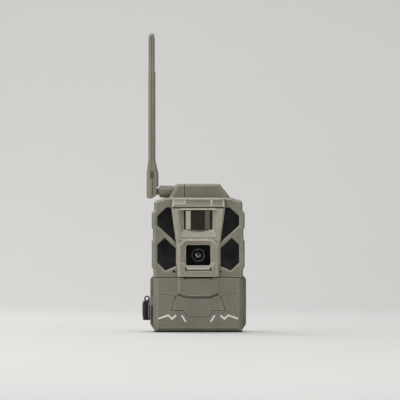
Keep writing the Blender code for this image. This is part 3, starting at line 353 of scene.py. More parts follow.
# ---------------------------------------------------------------- CAD nodes that stay
def soften(piece, edge):
    """Merge, flatten and round a piece's edges; the edge's width is in millimetres, and 0 leaves it sharp."""
    weld = piece.modifiers.new("weld", "WELD")
    weld.merge_threshold = 0.01 * MM
    if edge:
        flat = piece.modifiers.new("flat", "DECIMATE")
        flat.decimate_type = "DISSOLVE"
        flat.angle_limit = math.radians(0.6)
        bevel = piece.modifiers.new("soft_edges", "BEVEL")
        bevel.limit_method = "ANGLE"
        bevel.angle_limit = math.radians(24.0)
        bevel.width = edge * MM
        bevel.segments = 2
        bevel.use_clamp_overlap = True
    normals = piece.modifiers.new("normals", "WEIGHTED_NORMAL")
    normals.weight = 80


def dress(nodes, material, edge):
    """Give CAD nodes a material and softened edges."""
    for name in nodes:
        node = NODES[name]
        node.data.materials.clear()
        node.data.materials.append(material)
        soften(node, edge)


dress(["rear_case", "front_shell", "top_pod", "antenna_housing"], SHELL, edge=0.45)
dress(["door"], DOOR, edge=0.45)
dress(["visor", "centre_bezel", "lens_bezel"], COLUMN, edge=0.45)
dress(["antenna_blade", "antenna_pin"], ANTENNA, edge=0.3)
dress(["antenna_nut"], NUT, edge=0.3)
dress(["antenna_knuckle"], KNUCKLE, edge=0.3)
dress(["latch_bracket", "latch_lever", "latch_link", "power_switch", "dc_jack", "lens_barrel"], BLACK,
      edge=0.25)
dress(["battery_tray", "control_panel", "lens_holder"], INNER, edge=0.25)
dress(["ir_window_upper_left", "ir_window_upper_right", "ir_window_lower_left", "ir_window_lower_right",
       "light_sensor", "lens_window"], WINDOW, edge=0.2)
dress(["pir_lens"], DETECTOR, edge=0.2)
dress(["board_screw_1", "board_screw_2", "case_screw_1", "case_screw_2", "case_screw_3", "case_screw_4",
       "hinge_pin", "latch_pin", "door_keeper", "radio_module", "card_socket", "contact_plate",
       "pir_sensor", "filter_solenoid"], STEEL, edge=0.15)
dress(["tripod_insert"], BRASS, edge=0.15)
dress(["antenna_jack"], NICKEL, edge=0.15)
dress(["main_gasket", "door_gasket", "dc_plug_cover", "tray_pull_tab", "test_button", "setup_button",
       "antenna_coax"], RUBBER, edge=0.15)
dress(["led_board_left", "led_board_right", "main_board", "sensor_board", "io_board"], BOARD, edge=0)
dress(["lens_element", "ir_cut_filter"], GLASS, edge=0)
dress(["battery_cells"], CELLS, edge=0.2)
dress(["sd_card"], CARD, edge=0.15)


# ---------------------------------------------------------------- mesh helpers, in millimetres
def span(node):
    """Lowest and highest corner of a CAD node in millimetres."""
    low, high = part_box(node)
    return low / MM, high / MM


def centre_of(node, axes):
    """Centre of a CAD node's box in two axes, such as xz."""
    low, high = span(node)
    return tuple((getattr(low, axis) + getattr(high, axis)) / 2.0 for axis in axes)


def inset(outline, distance):
    """Move every edge of an outline inwards by a distance; corners stay mitred."""
    area = sum(a[0] * b[1] - b[0] * a[1] for a, b in zip(outline, outline[1:] + outline[:1]))
    inward = math.copysign(1.0, area)
    moved = []
    for before, corner, after in zip(outline[-1:] + outline[:-1], outline, outline[1:] + outline[:1]):
        first = (Vector(corner) - Vector(before)).normalized()
        second = (Vector(after) - Vector(corner)).normalized()
        sides = [inward * Vector((-edge.y, edge.x)) for edge in (first, second)]
        mitre = (sides[0] + sides[1]).normalized()
        moved.append(tuple(Vector(corner) + mitre * (distance / max(mitre.dot(sides[0]), 0.3))))
    return moved


def rectangle(u_min, u_max, v_min, v_max):
    """Corners of a rectangle, the lowest first."""
    return [(u_min, v_min), (u_max, v_min), (u_max, v_max), (u_min, v_max)]


def cut_rectangle(u_min, u_max, v_min, v_max, cut):
    """A rectangle with its four corners cut off."""
    return [(u_min, v_min + cut), (u_min + cut, v_min), (u_max - cut, v_min), (u_max, v_min + cut),
            (u_max, v_max - cut), (u_max - cut, v_max), (u_min + cut, v_max), (u_min, v_max - cut)]


def circle(u, v, radius, count=32, start=0.0):
    """Points round a circle, from a start angle in radians."""
    step = math.tau / count
    return [(u + radius * math.cos(start + step * i), v + radius * math.sin(start + step * i))
            for i in range(count)]


def beyond(face, profile):
    """Shift a profile of (depth, size) pairs so that its depths count from a face."""
    return [(face + depth, size) for depth, size in profile]


class Form:
    """A mesh under construction; every call adds one closed body."""

    def __init__(self):
        self.shape = bmesh.new()

    def skin(self, rings, loop=False):
        """Join rings of equal point count; with loop the last joins the first."""
        rows = [[self.shape.verts.new(point) for point in ring] for ring in rings]
        for low, high in (zip(rows, rows[1:] + rows[:1]) if loop else zip(rows, rows[1:])):
            for i in range(len(low)):
                j = (i + 1) % len(low)
                self.shape.faces.new((low[i], low[j], high[j], high[i]))
        if not loop:
            self.shape.faces.new(rows[0])
            self.shape.faces.new(rows[-1])
        return self

    def loft(self, axis, sections, loop=False):
        """Sections list (place along the axis, outline in the other two axes)."""
        def to_space(along, point):
            u, v = point
            return {"X": (along, u, v), "Y": (u, along, v), "Z": (u, v, along)}[axis]
        return self.skin([[to_space(along, point) for point in outline] for along, outline in sections],
                         loop)

    def border(self, axis, outline, profile):
        """A closed frame along an outline; the profile lists (place along the axis, distance inwards)."""
        return self.loft(axis, [(along, inset(outline, inwards)) for along, inwards in profile], loop=True)

    def tile(self, axis, outline, back, front, chamfer):
        """A flat piece with a chamfer round its front face."""
        step = math.copysign(chamfer, back - front)
        return self.loft(axis, [(back, outline), (front + step, outline), (front, inset(outline, chamfer))])

    def block(self, x, y, z):
        """A box from its span along each axis."""
        return self.loft("Y", [(y[0], rectangle(*x, *z)), (y[1], rectangle(*x, *z))])

    def turned(self, axis, centre, profile, count=32, loop=False):
        """The profile lists (place along the axis, radius)."""
        return self.loft(axis, [(along, circle(*centre, radius, count)) for along, radius in profile], loop)

    def stroke(self, points, width, back, front):
        """A band along a line in the front view."""
        places = [Vector(point) for point in points]
        rings = []
        for i, place in enumerate(places):
            into = (place - places[i - 1]).normalized() if i else None
            out = (places[i + 1] - place).normalized() if i + 1 < len(places) else into
            into = into or out
            normals = [Vector((-way.y, way.x)) for way in (into, out)]
            mitre = (normals[0] + normals[1]).normalized()
            side = mitre * (width / 2.0 / max(mitre.dot(normals[0]), 0.4))
            left, right = place + side, place - side
            rings.append([(left.x, back, left.y), (left.x, front, left.y),
                          (right.x, front, right.y), (right.x, back, right.y)])
        return self.skin(rings)

    def finish(self, name):
        """Make an object of the form, in metres, and free the form."""
        bmesh.ops.scale(self.shape, vec=(MM, MM, MM), verts=self.shape.verts)
        bmesh.ops.recalc_face_normals(self.shape, faces=self.shape.faces)
        mesh = bpy.data.meshes.new(name)
        self.shape.to_mesh(mesh)
        self.shape.free()
        made = bpy.data.objects.new(name, mesh)
        bpy.context.scene.collection.objects.link(made)
        return made


def add_piece(name, form, material, body, edge=0.15):
    """Turn a form into a piece that rides on a body."""
    piece = form.finish(name)
    piece.data.shade_smooth()
    piece.data.materials.append(material)
    soften(piece, edge)
    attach(piece, body)
    return piece


def carve(piece, form):
    """Take a form out of a piece; its other modifiers are left out of the cut and stay."""
    cutter = form.finish("cutter")
    for modifier in piece.modifiers:
        modifier.show_viewport = False
    boolean = piece.modifiers.new("carve", "BOOLEAN")
    boolean.operation = "DIFFERENCE"
    boolean.solver = "EXACT"
    boolean.object = cutter
    bpy.context.view_layer.update()
    result = bpy.data.meshes.new_from_object(piece.evaluated_get(bpy.context.evaluated_depsgraph_get()))
    piece.modifiers.remove(boolean)
    piece.data = result
    for modifier in piece.modifiers:
        modifier.show_viewport = True
    bpy.data.objects.remove(cutter)


def carve_cross(screw, centre, depth, half_length, half_width):
    """Cut a cross recess into a screw head; depth is the cut's span along the screw."""
    x, z = centre
    for half_x, half_z in ((half_length, half_width), (half_width, half_length)):
        carve(screw, Form().block((x - half_x, x + half_x), depth, (z - half_z, z + half_z)))


# ---------------------------------------------------------------- optics
LENS_ROUND = 64             # points round the lens parts
PANE_CORNER = 1.5           # cut-off corners of the window pane
MASK_GAP, MASK_DEPTH = 0.3, 0.5
MASK_HOLE = 7.3             # radius of the hole that the lens looks through
# Profiles list (depth behind the barrel's face, radius).
RING_PROFILE = [(0.2, 7.2), (-0.35, 7.2), (-0.5, 7.0), (-0.5, 6.2), (-0.2, 5.6), (0.2, 5.5)]
BAFFLE_PROFILE = [(0.2, 5.5), (-0.1, 5.3), (0.5, 5.0), (0.4, 4.8), (1.0, 4.5), (0.9, 4.3),
                  (1.1, 4.25), (1.2, 5.3)]
GLASS_RIM = [(3.6, 3.9), (3.2, 3.85)]
GLASS_CENTRE, GLASS_RADIUS = 8.8, 7.0       # centre and radius of the ball that the front glass is cut from
GLASS_DEGREES = (*range(32, 0, -4), 1)      # from the glass's rim to its crown


def make_lens():
    """Smoked pane, black mask, ringed barrel and a domed front glass."""
    low, high = span("lens_window")
    centre = centre_of("lens_window", "xz")
    outline = cut_rectangle(low.x, high.x, low.z, high.z, PANE_CORNER)
    pane = add_piece("lens_pane", Form().tile("Y", outline, high.y, low.y, 0.3), PANE, "root",
                     0)
    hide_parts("lens_window")
    front = high.y + MASK_GAP
    back = front + MASK_DEPTH
    mask = add_piece("lens_mask", Form().loft("Y", [(front, outline), (back, outline)]), BAFFLE,
                     "root", 0)
    carve(mask, Form().turned("Y", centre, [(front - 1.3, MASK_HOLE), (back + 1.2, MASK_HOLE)], 48))
    face = span("lens_barrel")[0].y
    ring = Form().turned("Y", centre, beyond(face, RING_PROFILE), LENS_ROUND, loop=True)
    add_piece("lens_ring", ring, RING, "root", 0)
    steps = Form().turned("Y", centre, beyond(face, BAFFLE_PROFILE), LENS_ROUND, loop=True)
    add_piece("lens_baffles", steps, BAFFLE, "root", 0)
    dome = [(GLASS_CENTRE - GLASS_RADIUS * math.cos(a), GLASS_RADIUS * math.sin(a))
            for a in map(math.radians, GLASS_DEGREES)]
    glass = add_piece("lens_front_glass",
                      Form().turned("Y", centre, beyond(face, GLASS_RIM + dome), LENS_ROUND),
                      COATED, "root", 0)
    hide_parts("lens_element")


# ---------------------------------------------------------------- brow, pod and case
BROW_DEPTHS = (1.8, 0.55)                   # rear and front of the brow's ribs, behind its front face
BROW_BASE, BROW_TOP = 0.5, -2.3             # ends of the end ribs, from the brow's lower and upper edge
BROW_END_RIBS = ((-26.5, -24.7), (25.7, 27.5))
BROW_TEE_STEM, BROW_TEE_BAR = (13.4, 15.0), (12.2, 16.2)
BROW_PAD, BROW_PAD_EDGE = (-24.4, -14.4), (-14.2, -12.7)
SOUND_HOLE_X = 24.2                         # from the middle of the front shell
FELT_RADIUS, FELT_TIP_RADIUS = 1.05, 0.8
POD_FRONT_CHAMFER = 2.0
POD_REAR_SLOPE = (5.0, 2.4)                 # the pod's top drops over this length by this height
POD_REAR_DRAW_IN = 3.4                      # each side of the pod draws in over the same length
SEAL_HALF, SEAL_WALL, SEAL_PROUD = 0.42, 1.2, 0.05
GASKET_BASE_Z = 141.0                       # inside the case's top
GASKET_IN, GASKET_WALL = 1.4, 1.5
SCREW_TIP = [(0.0, 0.8), (0.8, 1.2)]        # (distance from the tip, radius)
SCREW_HEAD = [(-2.3, 1.2), (-2.3, 2.65), (-0.8, 2.65), (-0.3, 2.2), (0.0, 1.3)]
SCREW_CROSS = (1.5, 0.32)                   # half length and half width


def make_brow_details():
    """Ribs and a small pad on the brow above the detector."""
    low, high = span("visor")
    back, front = (low.y + depth for depth in BROW_DEPTHS)
    base, top = low.z + BROW_BASE, high.z + BROW_TOP
    ribs = Form()
    for rib in BROW_END_RIBS:
        ribs.tile("Y", rectangle(*rib, base, top), back, front, 0.35)
    ribs.tile("Y", rectangle(*BROW_TEE_STEM, base + 1.2, top - 1.2), back, front, 0.3)
    ribs.tile("Y", rectangle(*BROW_TEE_BAR, top - 1.3, top), back, front, 0.3)
    add_piece("brow_ribs", ribs, SHELL_LIGHT, "root", 0.12)
    pad = Form().tile("Y", rectangle(*BROW_PAD, base + 2.0, top), back, front + 0.25, 0.3)
    pad.tile("Y", rectangle(*BROW_PAD_EDGE, base + 2.0, top), back, front, 0.3)
    add_piece("brow_pad", pad, SHELL_LIGHT, "root", 0.12)


def make_sound_hole():
    """Near-black felt in the sound hole, a little below the light sensor; it also stands in for the shade
    inside the hole.
    """
    low, high = span("light_sensor")
    _, sensor_z = centre_of("light_sensor", "xz")
    shell_x, _ = centre_of("front_shell", "xz")
    # Near black, so the felt paints the shade inside the hole as well.
    shade_felt = Form().turned("Y", (shell_x + SOUND_HOLE_X, sensor_z - 0.2), [
        (low.y - 0.15, FELT_TIP_RADIUS), (low.y, FELT_RADIUS), (high.y, FELT_RADIUS)], 24)
    add_piece("sound_hole_shade_felt", shade_felt, BAFFLE, "root", 0)


def make_pod_seal():
    """Dark seal that closes the split between the pod's two mouldings."""
    _, housing_high = span("antenna_housing")
    pod_low, pod_high = span("top_pod")
    x = (housing_high.x + pod_low.x) / 2.0
    front, back = pod_low.y - SEAL_PROUD, pod_high.y + SEAL_PROUD
    base, top = pod_low.z + 0.2, pod_high.z + SEAL_PROUD
    slope, drop = POD_REAR_SLOPE
    outline = [(front, base), (back, base), (back, top - drop), (back - slope, top),
               (front + POD_FRONT_CHAMFER, top), (front, top - POD_FRONT_CHAMFER)]
    seal = Form().border("X", outline, [(x - SEAL_HALF, 0.0), (x - SEAL_HALF, SEAL_WALL),
                                        (x + SEAL_HALF, SEAL_WALL), (x + SEAL_HALF, 0.0)])
    add_piece("pod_seal", seal, RUBBER, "root", 0)


def make_pod_gasket():
    """Thin seal between the pod and the case; it follows the pod's drawn-in rear corners."""
    pod_low, pod_high = span("top_pod")
    left, right, front, back = span("antenna_housing")[0].x, pod_high.x, pod_low.y, pod_high.y
    bend = back - POD_REAR_SLOPE[0]
    base = [(left, front), (right, front), (right, bend), (right - POD_REAR_DRAW_IN, back),
            (left + POD_REAR_DRAW_IN, back), (left, bend)]
    ring = Form().border("Z", inset(base, GASKET_IN), [
        (GASKET_BASE_Z, 0.0), (pod_low.z, 0.0), (pod_low.z, GASKET_WALL), (GASKET_BASE_Z, GASKET_WALL)])
    add_piece("pod_gasket", ring, RUBBER, "root", 0)


def make_case_screws():
    """Pan-head screws with a cross recess in the back of the case."""
    for i in range(1, 5):
        low, high = span(f"case_screw_{i}")
        centre = centre_of(f"case_screw_{i}", "xz")
        body = Form().turned("Y", centre, beyond(low.y, SCREW_TIP) + beyond(high.y, SCREW_HEAD), 28)
        screw = add_piece(f"cross_screw_{i}", body, STEEL, "root", 0.08)
        carve_cross(screw, centre, (high.y - 1.1, high.y + 1.0), *SCREW_CROSS)
        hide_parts(f"case_screw_{i}")


# ---------------------------------------------------------------- back and sides
BURIED = -0.5               # how far the details on the back reach into the case
# Profiles list (height over the back, radius or distance inwards).
TRIPOD_RING = [(BURIED, 8.6), (0.6, 8.6), (0.9, 8.2), (0.9, 6.6), (0.6, 6.2), (BURIED, 6.2)]
BACK_FRAME = [(BURIED, 0.0), (0.4, 0.0), (0.8, 0.4), (0.8, 1.8), (0.4, 2.2), (BURIED, 2.2)]
BACK_FRAME_OUTLINE = rectangle(-23.0, 23.0, 72.0, 126.0)
# Rows of ribs: first rib's Z, pitch, count, half width, half height, height over the back, chamfer.
BACK_RIB_ROWS = ((78.0, 7.0, 7, 18.0, 1.1, 0.9, 0.6), (12.0, 6.0, 5, 34.0, 0.8, 0.7, 0.5))
GRIP_START_Z, GRIP_PITCH, GRIP_COUNT = 73.0, 4.2, 6
GRIP_ROOT_X, GRIP_FOOT_X, GRIP_CREST_X = 47.6, 48.3, 48.75
GRIP_FOOT_Y, GRIP_CREST_Y = (-6.0, 20.0), (-5.4, 19.4)
GRIP_FOOT_HALF, GRIP_CREST_HALF = 0.9, 0.35


def make_back_details():
    """Grip ribs and a frame on the back, and a raised ring round the tripod insert."""
    _, insert_z = centre_of("tripod_insert", "xz")
    back = span("tripod_insert")[1].y + 0.3
    ring = Form().turned("Y", (0.0, insert_z), beyond(back, TRIPOD_RING), 48, loop=True)
    add_piece("tripod_ring", ring, SHELL, "root", 0.12)
    panel = Form().border("Y", BACK_FRAME_OUTLINE, beyond(back, BACK_FRAME))
    for start, pitch, count, half_width, half_height, height, chamfer in BACK_RIB_ROWS:
        for z in (start + pitch * i for i in range(count)):
            panel.tile("Y", rectangle(-half_width, half_width, z - half_height, z + half_height),
                       back + BURIED, back + height, chamfer)
    add_piece("back_ribs", panel, SHELL, "root", 0.15)


def make_side_grips():
    """Grip ribs on both sides of the case."""
    grips = Form()
    for side in (-1.0, 1.0):
        foot = rectangle(*sorted((side * GRIP_ROOT_X, side * GRIP_FOOT_X)), *GRIP_FOOT_Y)
        crest = rectangle(*sorted((side * GRIP_ROOT_X, side * GRIP_CREST_X)), *GRIP_CREST_Y)
        for z in (GRIP_START_Z + GRIP_PITCH * i for i in range(GRIP_COUNT)):
            grips.loft("Z", [(z - GRIP_FOOT_HALF, foot), (z - GRIP_CREST_HALF, crest),
                             (z + GRIP_CREST_HALF, crest), (z + GRIP_FOOT_HALF, foot)])
    add_piece("side_grips", grips, SHELL, "root", 0.12)


# ---------------------------------------------------------------- door, hinge and latch
ACCENT_LINES = [[(17.4, 17.8), (13.1, 11.0)],
                [(23.4, 17.8), (27.6, 14.0), (31.4, 17.8), (42.0, 14.2)]]
ACCENT_WIDTH = 1.7
ACCENT_FACE = 1.4           # the door's lower face lies this far behind its foremost point
DOOR_INSIDE = 3.6           # inner face of the door's front wall, behind the same point
DOOR_RIB_RISE = 3.0
DOOR_RIBS_X = (-27.0, -9.0, 9.0, 27.0)
DOOR_RIB_HALF = 0.7
DOOR_CROSS_RIB_HALF_WIDTH = 40.2
DOOR_RIB_Z = (7.4, 54.4)
DOOR_CROSS_RIB_Z = (30.3, 31.7)
WASHERS_Z = (20.0, 44.3)
WASHER_PROFILE = [(-0.19, 2.0), (0.19, 2.0), (0.19, 0.9), (-0.19, 0.9)]
RIDGE_START_Y, RIDGE_PITCH, RIDGE_COUNT = 8.0, 2.4, 5
RIDGE_FOOT_HALF, RIDGE_CREST_HALF = 0.8, 0.25
RIDGE_FOOT, RIDGE_CREST = (-0.1, 2.1, 13.3), (-0.6, 2.5, 12.9)      # X from the face, Z from the lever's end
RIDGE_BURIED = 0.3
HOOK_PLATE = (1.6, -0.3, 0.4, -0.4)         # from the link's box: left, right, bottom, top
PIN_CAP_HEIGHT = 0.5
HOOK_BORDER = [(0.3, 0.0), (-0.35, 0.0), (-0.5, 0.2), (-0.5, 0.9), (0.3, 1.1)]


def make_door_accents():
    """Pale inlaid lines across the lower door."""
    face = span("door")[0].y + ACCENT_FACE
    lines = Form()
    for points in ACCENT_LINES:
        lines.stroke(points, ACCENT_WIDTH, face + 0.3, face - 0.22)
        lines.stroke([(-x, z) for x, z in points], ACCENT_WIDTH, face + 0.3, face - 0.22)
    add_piece("door_accents", lines, ACCENT_PAINT, "door", 0.08)


def make_door_ribs():
    """Stiffening ribs inside the door."""
    root = span("door")[0].y + DOOR_INSIDE
    crest = root + DOOR_RIB_RISE
    ribs = Form()
    for x in DOOR_RIBS_X:
        ribs.block((x - DOOR_RIB_HALF, x + DOOR_RIB_HALF), (root, crest), DOOR_RIB_Z)
    ribs.block((-DOOR_CROSS_RIB_HALF_WIDTH, DOOR_CROSS_RIB_HALF_WIDTH), (root, crest - 0.2),
               DOOR_CROSS_RIB_Z)
    add_piece("door_ribs", ribs, DOOR, "door", 0.2)


def make_hinge_washers():
    """Dark washers between the hinge knuckles."""
    washers = Form()
    for z in WASHERS_Z:
        washers.turned("Z", centre_of("hinge_pin", "xy"), beyond(z, WASHER_PROFILE), loop=True)
    add_piece("hinge_washers", washers, BLACK, "root", 0)


def make_latch_details():
    """Finger ridges on the lever, a raised border on the hook plate and pin caps."""
    low, _ = span("latch_lever")
    face = low.x + 0.7
    foot, crest = (rectangle(face + x, face + RIDGE_BURIED, low.z + bottom, low.z + top)
                   for x, bottom, top in (RIDGE_FOOT, RIDGE_CREST))
    ridges = Form()
    for y in (RIDGE_START_Y + RIDGE_PITCH * i for i in range(RIDGE_COUNT)):
        ridges.loft("Y", [(y - RIDGE_FOOT_HALF, foot), (y - RIDGE_CREST_HALF, crest),
                          (y + RIDGE_CREST_HALF, crest), (y + RIDGE_FOOT_HALF, foot)])
    add_piece("lever_ridges", ridges, BLACK, "latch_lever", 0.08)
    low, high = span("latch_link")
    left, right, bottom, top = HOOK_PLATE
    plate = rectangle(low.x + left, high.x + right, low.z + bottom, high.z + top)
    edge = Form().border("Y", plate, beyond(low.y, HOOK_BORDER))
    add_piece("hook_border", edge, BLACK, "latch_link", 0.06)
    low, high = span("latch_pin")
    caps = Form()
    for start, end in ((low.z, low.z - PIN_CAP_HEIGHT), (high.z, high.z + PIN_CAP_HEIGHT)):
        caps.turned("Z", centre_of("latch_pin", "xy"), [(start, 1.7), (end, 1.5)], 24)
    add_piece("latch_pin_caps", caps, STEEL, "root", 0.1)


# ---------------------------------------------------------------- battery bay and power inlet
CELL_PITCH = 14.9
CELL_ROWS, CELL_COLUMNS = (-1.0, 0.0, 1.0), (-1.5, -0.5, 0.5, 1.5)
TRAY_RING = [(0.2, 6.2), (-0.22, 6.0), (-0.22, 5.3), (0.2, 5.1)]
CARD_FRAME_MARGIN, CARD_FRAME_WIDTH = (2.2, 2.4), 1.4
KNOB_FRAME_HALF, KNOB_FRAME_WIDTH = (3.4, 6.7), 1.0
PANEL_SCREWS = ((40.4, 8.2), (40.4, 29.6))
PANEL_SCREW_HEAD = [(0.4, 1.9), (-0.5, 1.9), (-0.9, 1.5), (-1.0, 0.8)]
PANEL_SCREW_CROSS = (1.1, 0.25)
# Raised pad on the jack's cover: height over the cover, then how far its edges have drawn in.
COVER_PAD = ((-0.2, 0.0), (0.1, 0.2), (0.25, 0.6))
COVER_MARGIN = (3.0, 3.6, 2.2)              # round the pad: front, rear, below and above
PULL_RIB_START, PULL_RIB_PITCH, PULL_RIB_WIDTH, PULL_RIB_COUNT = 0.7, 0.55, 0.28, 4
PULL_RIB_X, PULL_RIB_END_GAP = (-0.2, 0.22), 2.0


def make_tray_rings():
    """Moulded rings on the tray's front, one over each cell."""
    face = span("battery_tray")[0].y
    tray_x, tray_z = centre_of("battery_tray", "xz")
    rings = Form()
    for row in CELL_ROWS:
        for column in CELL_COLUMNS:
            rings.turned("Y", (tray_x + column * CELL_PITCH, tray_z + row * CELL_PITCH),
                         beyond(face, TRAY_RING), loop=True)
    add_piece("tray_rings", rings, INNER, "root", 0)


def make_panel_details():
    """Frames round the card and the switch, and two screws, on the control panel."""
    face = span("control_panel")[0].y
    card_low, card_high = span("sd_card")
    margin_x, margin_z = CARD_FRAME_MARGIN
    card = rectangle(card_low.x - margin_x, card_high.x + margin_x,
                     card_low.z - margin_z, card_high.z + margin_z)
    knob_x, knob_z = centre_of("power_switch", "xz")
    half_x, half_z = KNOB_FRAME_HALF
    knob = rectangle(knob_x - half_x, knob_x + half_x, knob_z - half_z, knob_z + half_z)
    frames = Form()
    for outline, width in ((card, CARD_FRAME_WIDTH), (knob, KNOB_FRAME_WIDTH)):
        frames.border("Y", outline, [(face + 0.3, 0.0), (face - 0.4, 0.1), (face - 0.4, width - 0.2),
                                     (face + 0.3, width)])
    add_piece("panel_frames", frames, INNER, "root", 0.08)
    for i, centre in enumerate(PANEL_SCREWS, 1):
        body = Form().turned("Y", centre, beyond(face, PANEL_SCREW_HEAD), 24)
        head = add_piece(f"panel_screw_{i}", body, STEEL, "root", 0.06)
        carve_cross(head, centre, (face - 2.0, face - 0.4), *PANEL_SCREW_CROSS)


def make_cover_details():
    """Raised pad and pull ribs on the rubber cover of the power jack."""
    low, high = span("dc_plug_cover")
    front, rear, ends = COVER_MARGIN
    grip = Form().loft("X", [
        (high.x + height, rectangle(low.y + front + drawn_in, high.y - rear - drawn_in,
                                    low.z + ends + drawn_in, high.z - ends - drawn_in))
        for height, drawn_in in COVER_PAD])
    root, crest = (high.x + x for x in PULL_RIB_X)
    for i in range(PULL_RIB_COUNT):
        y = low.y + PULL_RIB_START + PULL_RIB_PITCH * i
        grip.block((root, crest), (y, y + PULL_RIB_WIDTH),
                   (low.z + PULL_RIB_END_GAP, high.z - PULL_RIB_END_GAP))
    add_piece("plug_cover_grip", grip, RUBBER, "plug_cover", 0.05)


# ---------------------------------------------------------------- antenna
BLADE_FRONT = 6.2           # from the middle of the blade to the front of its wide foot
# Spans in X and Z from the blade's lowest corner.
SLOT_X, SLOT_Z = (4.1, 7.8), (20.9, 28.5)
STRIP_X, STRIP_Z = (5.65, 7.0), (3.6, 20.0)
RIB_X, RIB_Z = (2.5, 5.5), (1.2, 20.2)
GRIP_TEETH = 22
GRIP_LENGTH = (0.9, 10.2)   # from the nut's left end
GRIP_INSIDE = 1.2           # how far the grip's bore lies inside the nut
# One tooth of the grip: part of a pitch from the tooth's middle, height over the nut.
GRIP_TOOTH = ((-0.35, -0.1), (-0.2, 0.25), (0.2, 0.25), (0.35, -0.1))


def make_antenna_details():
    """Dark olive tiles, painted shade, in the slot and groove in the front of the blade's wide foot, and a
    lighter flat rib over its pin.
    """
    low, high = span("antenna_blade")
    face = (low.y + high.y) / 2.0 - BLADE_FRONT

    def on_foot(x, z):
        return rectangle(low.x + x[0], low.x + x[1], low.z + z[0], low.z + z[1])

    # The slot and the groove get dark olive tiles: painted shade in the recesses.
    slot_shade = Form().tile("Y", on_foot(SLOT_X, SLOT_Z), face + 0.9, face + 0.45, 0.3)
    slot_shade.tile("Y", on_foot(STRIP_X, STRIP_Z), face + 1.0, face + 0.3, 0.1)
    add_piece("antenna_slot_shade", slot_shade, SLOT_SHADE, "antenna", 0)
    # The rib's lighter olive is a painted highlight.
    rib = Form().tile("Y", on_foot(RIB_X, RIB_Z), face + 0.4, face - 0.25, 0.22)
    add_piece("antenna_rib", rib, RIB, "antenna", 0)


def make_nut_grip():
    """Grip ribs round the coupling nut."""
    low, high = span("antenna_nut")
    y, z = centre_of("antenna_nut", "yz")
    radius = (high.z - low.z) / 2.0
    pitch = math.tau / GRIP_TEETH
    gear = [(y + (radius + height) * math.cos(pitch * (tooth + part)),
             z + (radius + height) * math.sin(pitch * (tooth + part)))
            for tooth in range(GRIP_TEETH) for part, height in GRIP_TOOTH]
    bore = circle(y, z, radius - GRIP_INSIDE, len(gear), start=pitch * GRIP_TOOTH[0][0])
    left, right = (low.x + end for end in GRIP_LENGTH)
    grip = Form().loft("X", [(left, bore), (left, gear), (right, gear), (right, bore)], loop=True)
    add_piece("nut_grip", grip, NUT, "antenna_nut", 0.06)


make_lens()
make_brow_details()
make_sound_hole()
make_pod_seal()
make_pod_gasket()
make_case_screws()
make_back_details()
make_side_grips()
make_door_accents()
make_door_ribs()
make_hinge_washers()
make_latch_details()
make_tray_rings()
make_panel_details()
make_cover_details()
make_antenna_details()
make_nut_grip()


# ---------------------------------------------------------------- stage, light and camera, in metres
FLOOR_FRONT_Y, FLOOR_HALF_WIDTH = -7.0, 6.0
FLOOR_DROP = 0.0002             # keeps the floor clear of the case's underside
BEND_Y, BEND_RADIUS = 1.6, 0.8  # where the floor starts to curve up, and how tightly
BACKDROP_TOP = 3.2
FRAME_WIDTH = 0.421             # what the picture spans at the front of the object
CAMERA_DISTANCE = 8.0
CAMERA_X, CAMERA_Z = 0.0019, 0.1392
SENSOR_WIDTH = 36.0             # millimetres, as the lens
WORLD_LIGHT = 0.05


def one_sided_material(name, colour, roughness):
    """Plain matt paint that is clear from its rear side."""
    g = Graph(name)
    g.feed("Base Color", g.mix(g.noise(3.0), colour, scaled(colour, 0.97)))
    g.fix("Roughness", roughness)
    facing = g.add("ShaderNodeNewGeometry")
    g.feed("Alpha", g.ramp(facing.outputs["Backfacing"], 0.0, 1.0, 1.0, 0.0))
    return g.material


def make_floor():
    """Pale floor that curves up into a backdrop far behind; the backdrop is open from behind."""
    profile = [(FLOOR_FRONT_Y, 0.0), (BEND_Y, 0.0)]
    profile += [(BEND_Y + BEND_RADIUS * math.sin(a), BEND_RADIUS * (1.0 - math.cos(a)))
                for a in map(math.radians, range(10, 91, 10))]
    profile += [(BEND_Y + BEND_RADIUS, BACKDROP_TOP)]
    shape = bmesh.new()
    rows = [[shape.verts.new((x, y, z - FLOOR_DROP)) for x in (-FLOOR_HALF_WIDTH, FLOOR_HALF_WIDTH)]
            for y, z in profile]
    for near, far in zip(rows, rows[1:]):
        shape.faces.new((near[0], near[1], far[1], far[0]))
    mesh = bpy.data.meshes.new("floor")
    shape.to_mesh(mesh)
    shape.free()
    mesh.shade_smooth()
    mesh.materials.append(one_sided_material("pale_floor", (0.55, 0.55, 0.54), 0.7))
    floor = bpy.data.objects.new("floor", mesh)
    bpy.context.scene.collection.objects.link(floor)


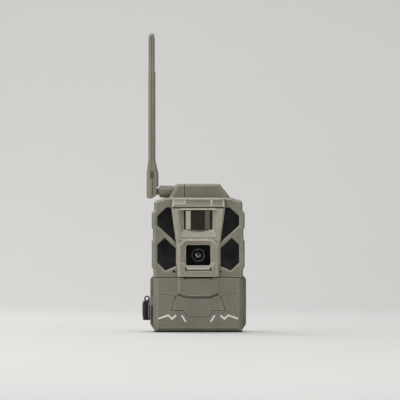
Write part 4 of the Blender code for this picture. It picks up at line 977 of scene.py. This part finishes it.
def area_light(name, place, target, size, power, colour=WHITE, spread=180.0):
    """A rectangular softbox aimed at a target; power is in watts and spread in degrees."""
    data = bpy.data.lights.new(name, "AREA")
    data.shape = "RECTANGLE"
    data.size, data.size_y = size
    data.energy = power
    data.color = colour
    data.spread = math.radians(spread)
    light = bpy.data.objects.new(name, data)
    light.location = place
    light.rotation_mode = "QUATERNION"
    light.rotation_quaternion = (Vector(target) - Vector(place)).to_track_quat("-Z", "Y")
    bpy.context.scene.collection.objects.link(light)


def make_light():
    """Softboxes at both sides and above, two upright strips in front, and washes for the set."""
    middle = (0.0, 0.0, 0.10)
    area_light("top_box", (0.0, -1.0, 2.4), middle, (1.6, 0.8), 42.0)
    area_light("left_box", (-1.60, -0.50, 0.55), middle, (0.60, 1.3), 9.0)
    area_light("right_box", (1.60, -0.50, 0.50), middle, (0.60, 1.3), 2.8)
    area_light("left_strip", (-1.20, -1.50, 0.70), middle, (0.62, 1.4), 8.0, WARM)
    area_light("right_strip", (1.12, -1.56, 0.70), middle, (0.66, 1.4), 2.0, WARM)
    area_light("rear_box", (-0.9, 1.5, 1.3), middle, (0.9, 0.6), 14.0)
    area_light("backdrop_box", (0.0, 0.9, 2.6), (0.0, 2.3, 0.5), (3.0, 0.6), 40.0)
    area_light("floor_box", (0.0, -2.9, 2.4), (0.0, -2.6, 0.0), (3.6, 1.2), 24.0, spread=84.0)
    world = bpy.data.worlds.new("surround")
    bpy.context.scene.world = world
    world.use_nodes = True
    background = world.node_tree.nodes["Background"]
    background.inputs["Color"].default_value = (*WHITE, 1.0)
    background.inputs["Strength"].default_value = WORLD_LIGHT


def make_camera():
    """Level camera straight in front, far off with a long lens."""
    data = bpy.data.cameras.new("camera")
    data.sensor_width = SENSOR_WIDTH
    data.lens = SENSOR_WIDTH * CAMERA_DISTANCE / FRAME_WIDTH
    data.clip_end = 50.0
    camera = bpy.data.objects.new("camera", data)
    camera.location = (CAMERA_X, cad_low.y - CAMERA_DISTANCE, CAMERA_Z)
    camera.rotation_euler = (math.radians(90.0), 0.0, 0.0)
    bpy.context.scene.collection.objects.link(camera)
    bpy.context.scene.camera = camera


make_floor()
make_light()
make_camera()
bpy.context.scene.view_settings.view_transform = "Standard"
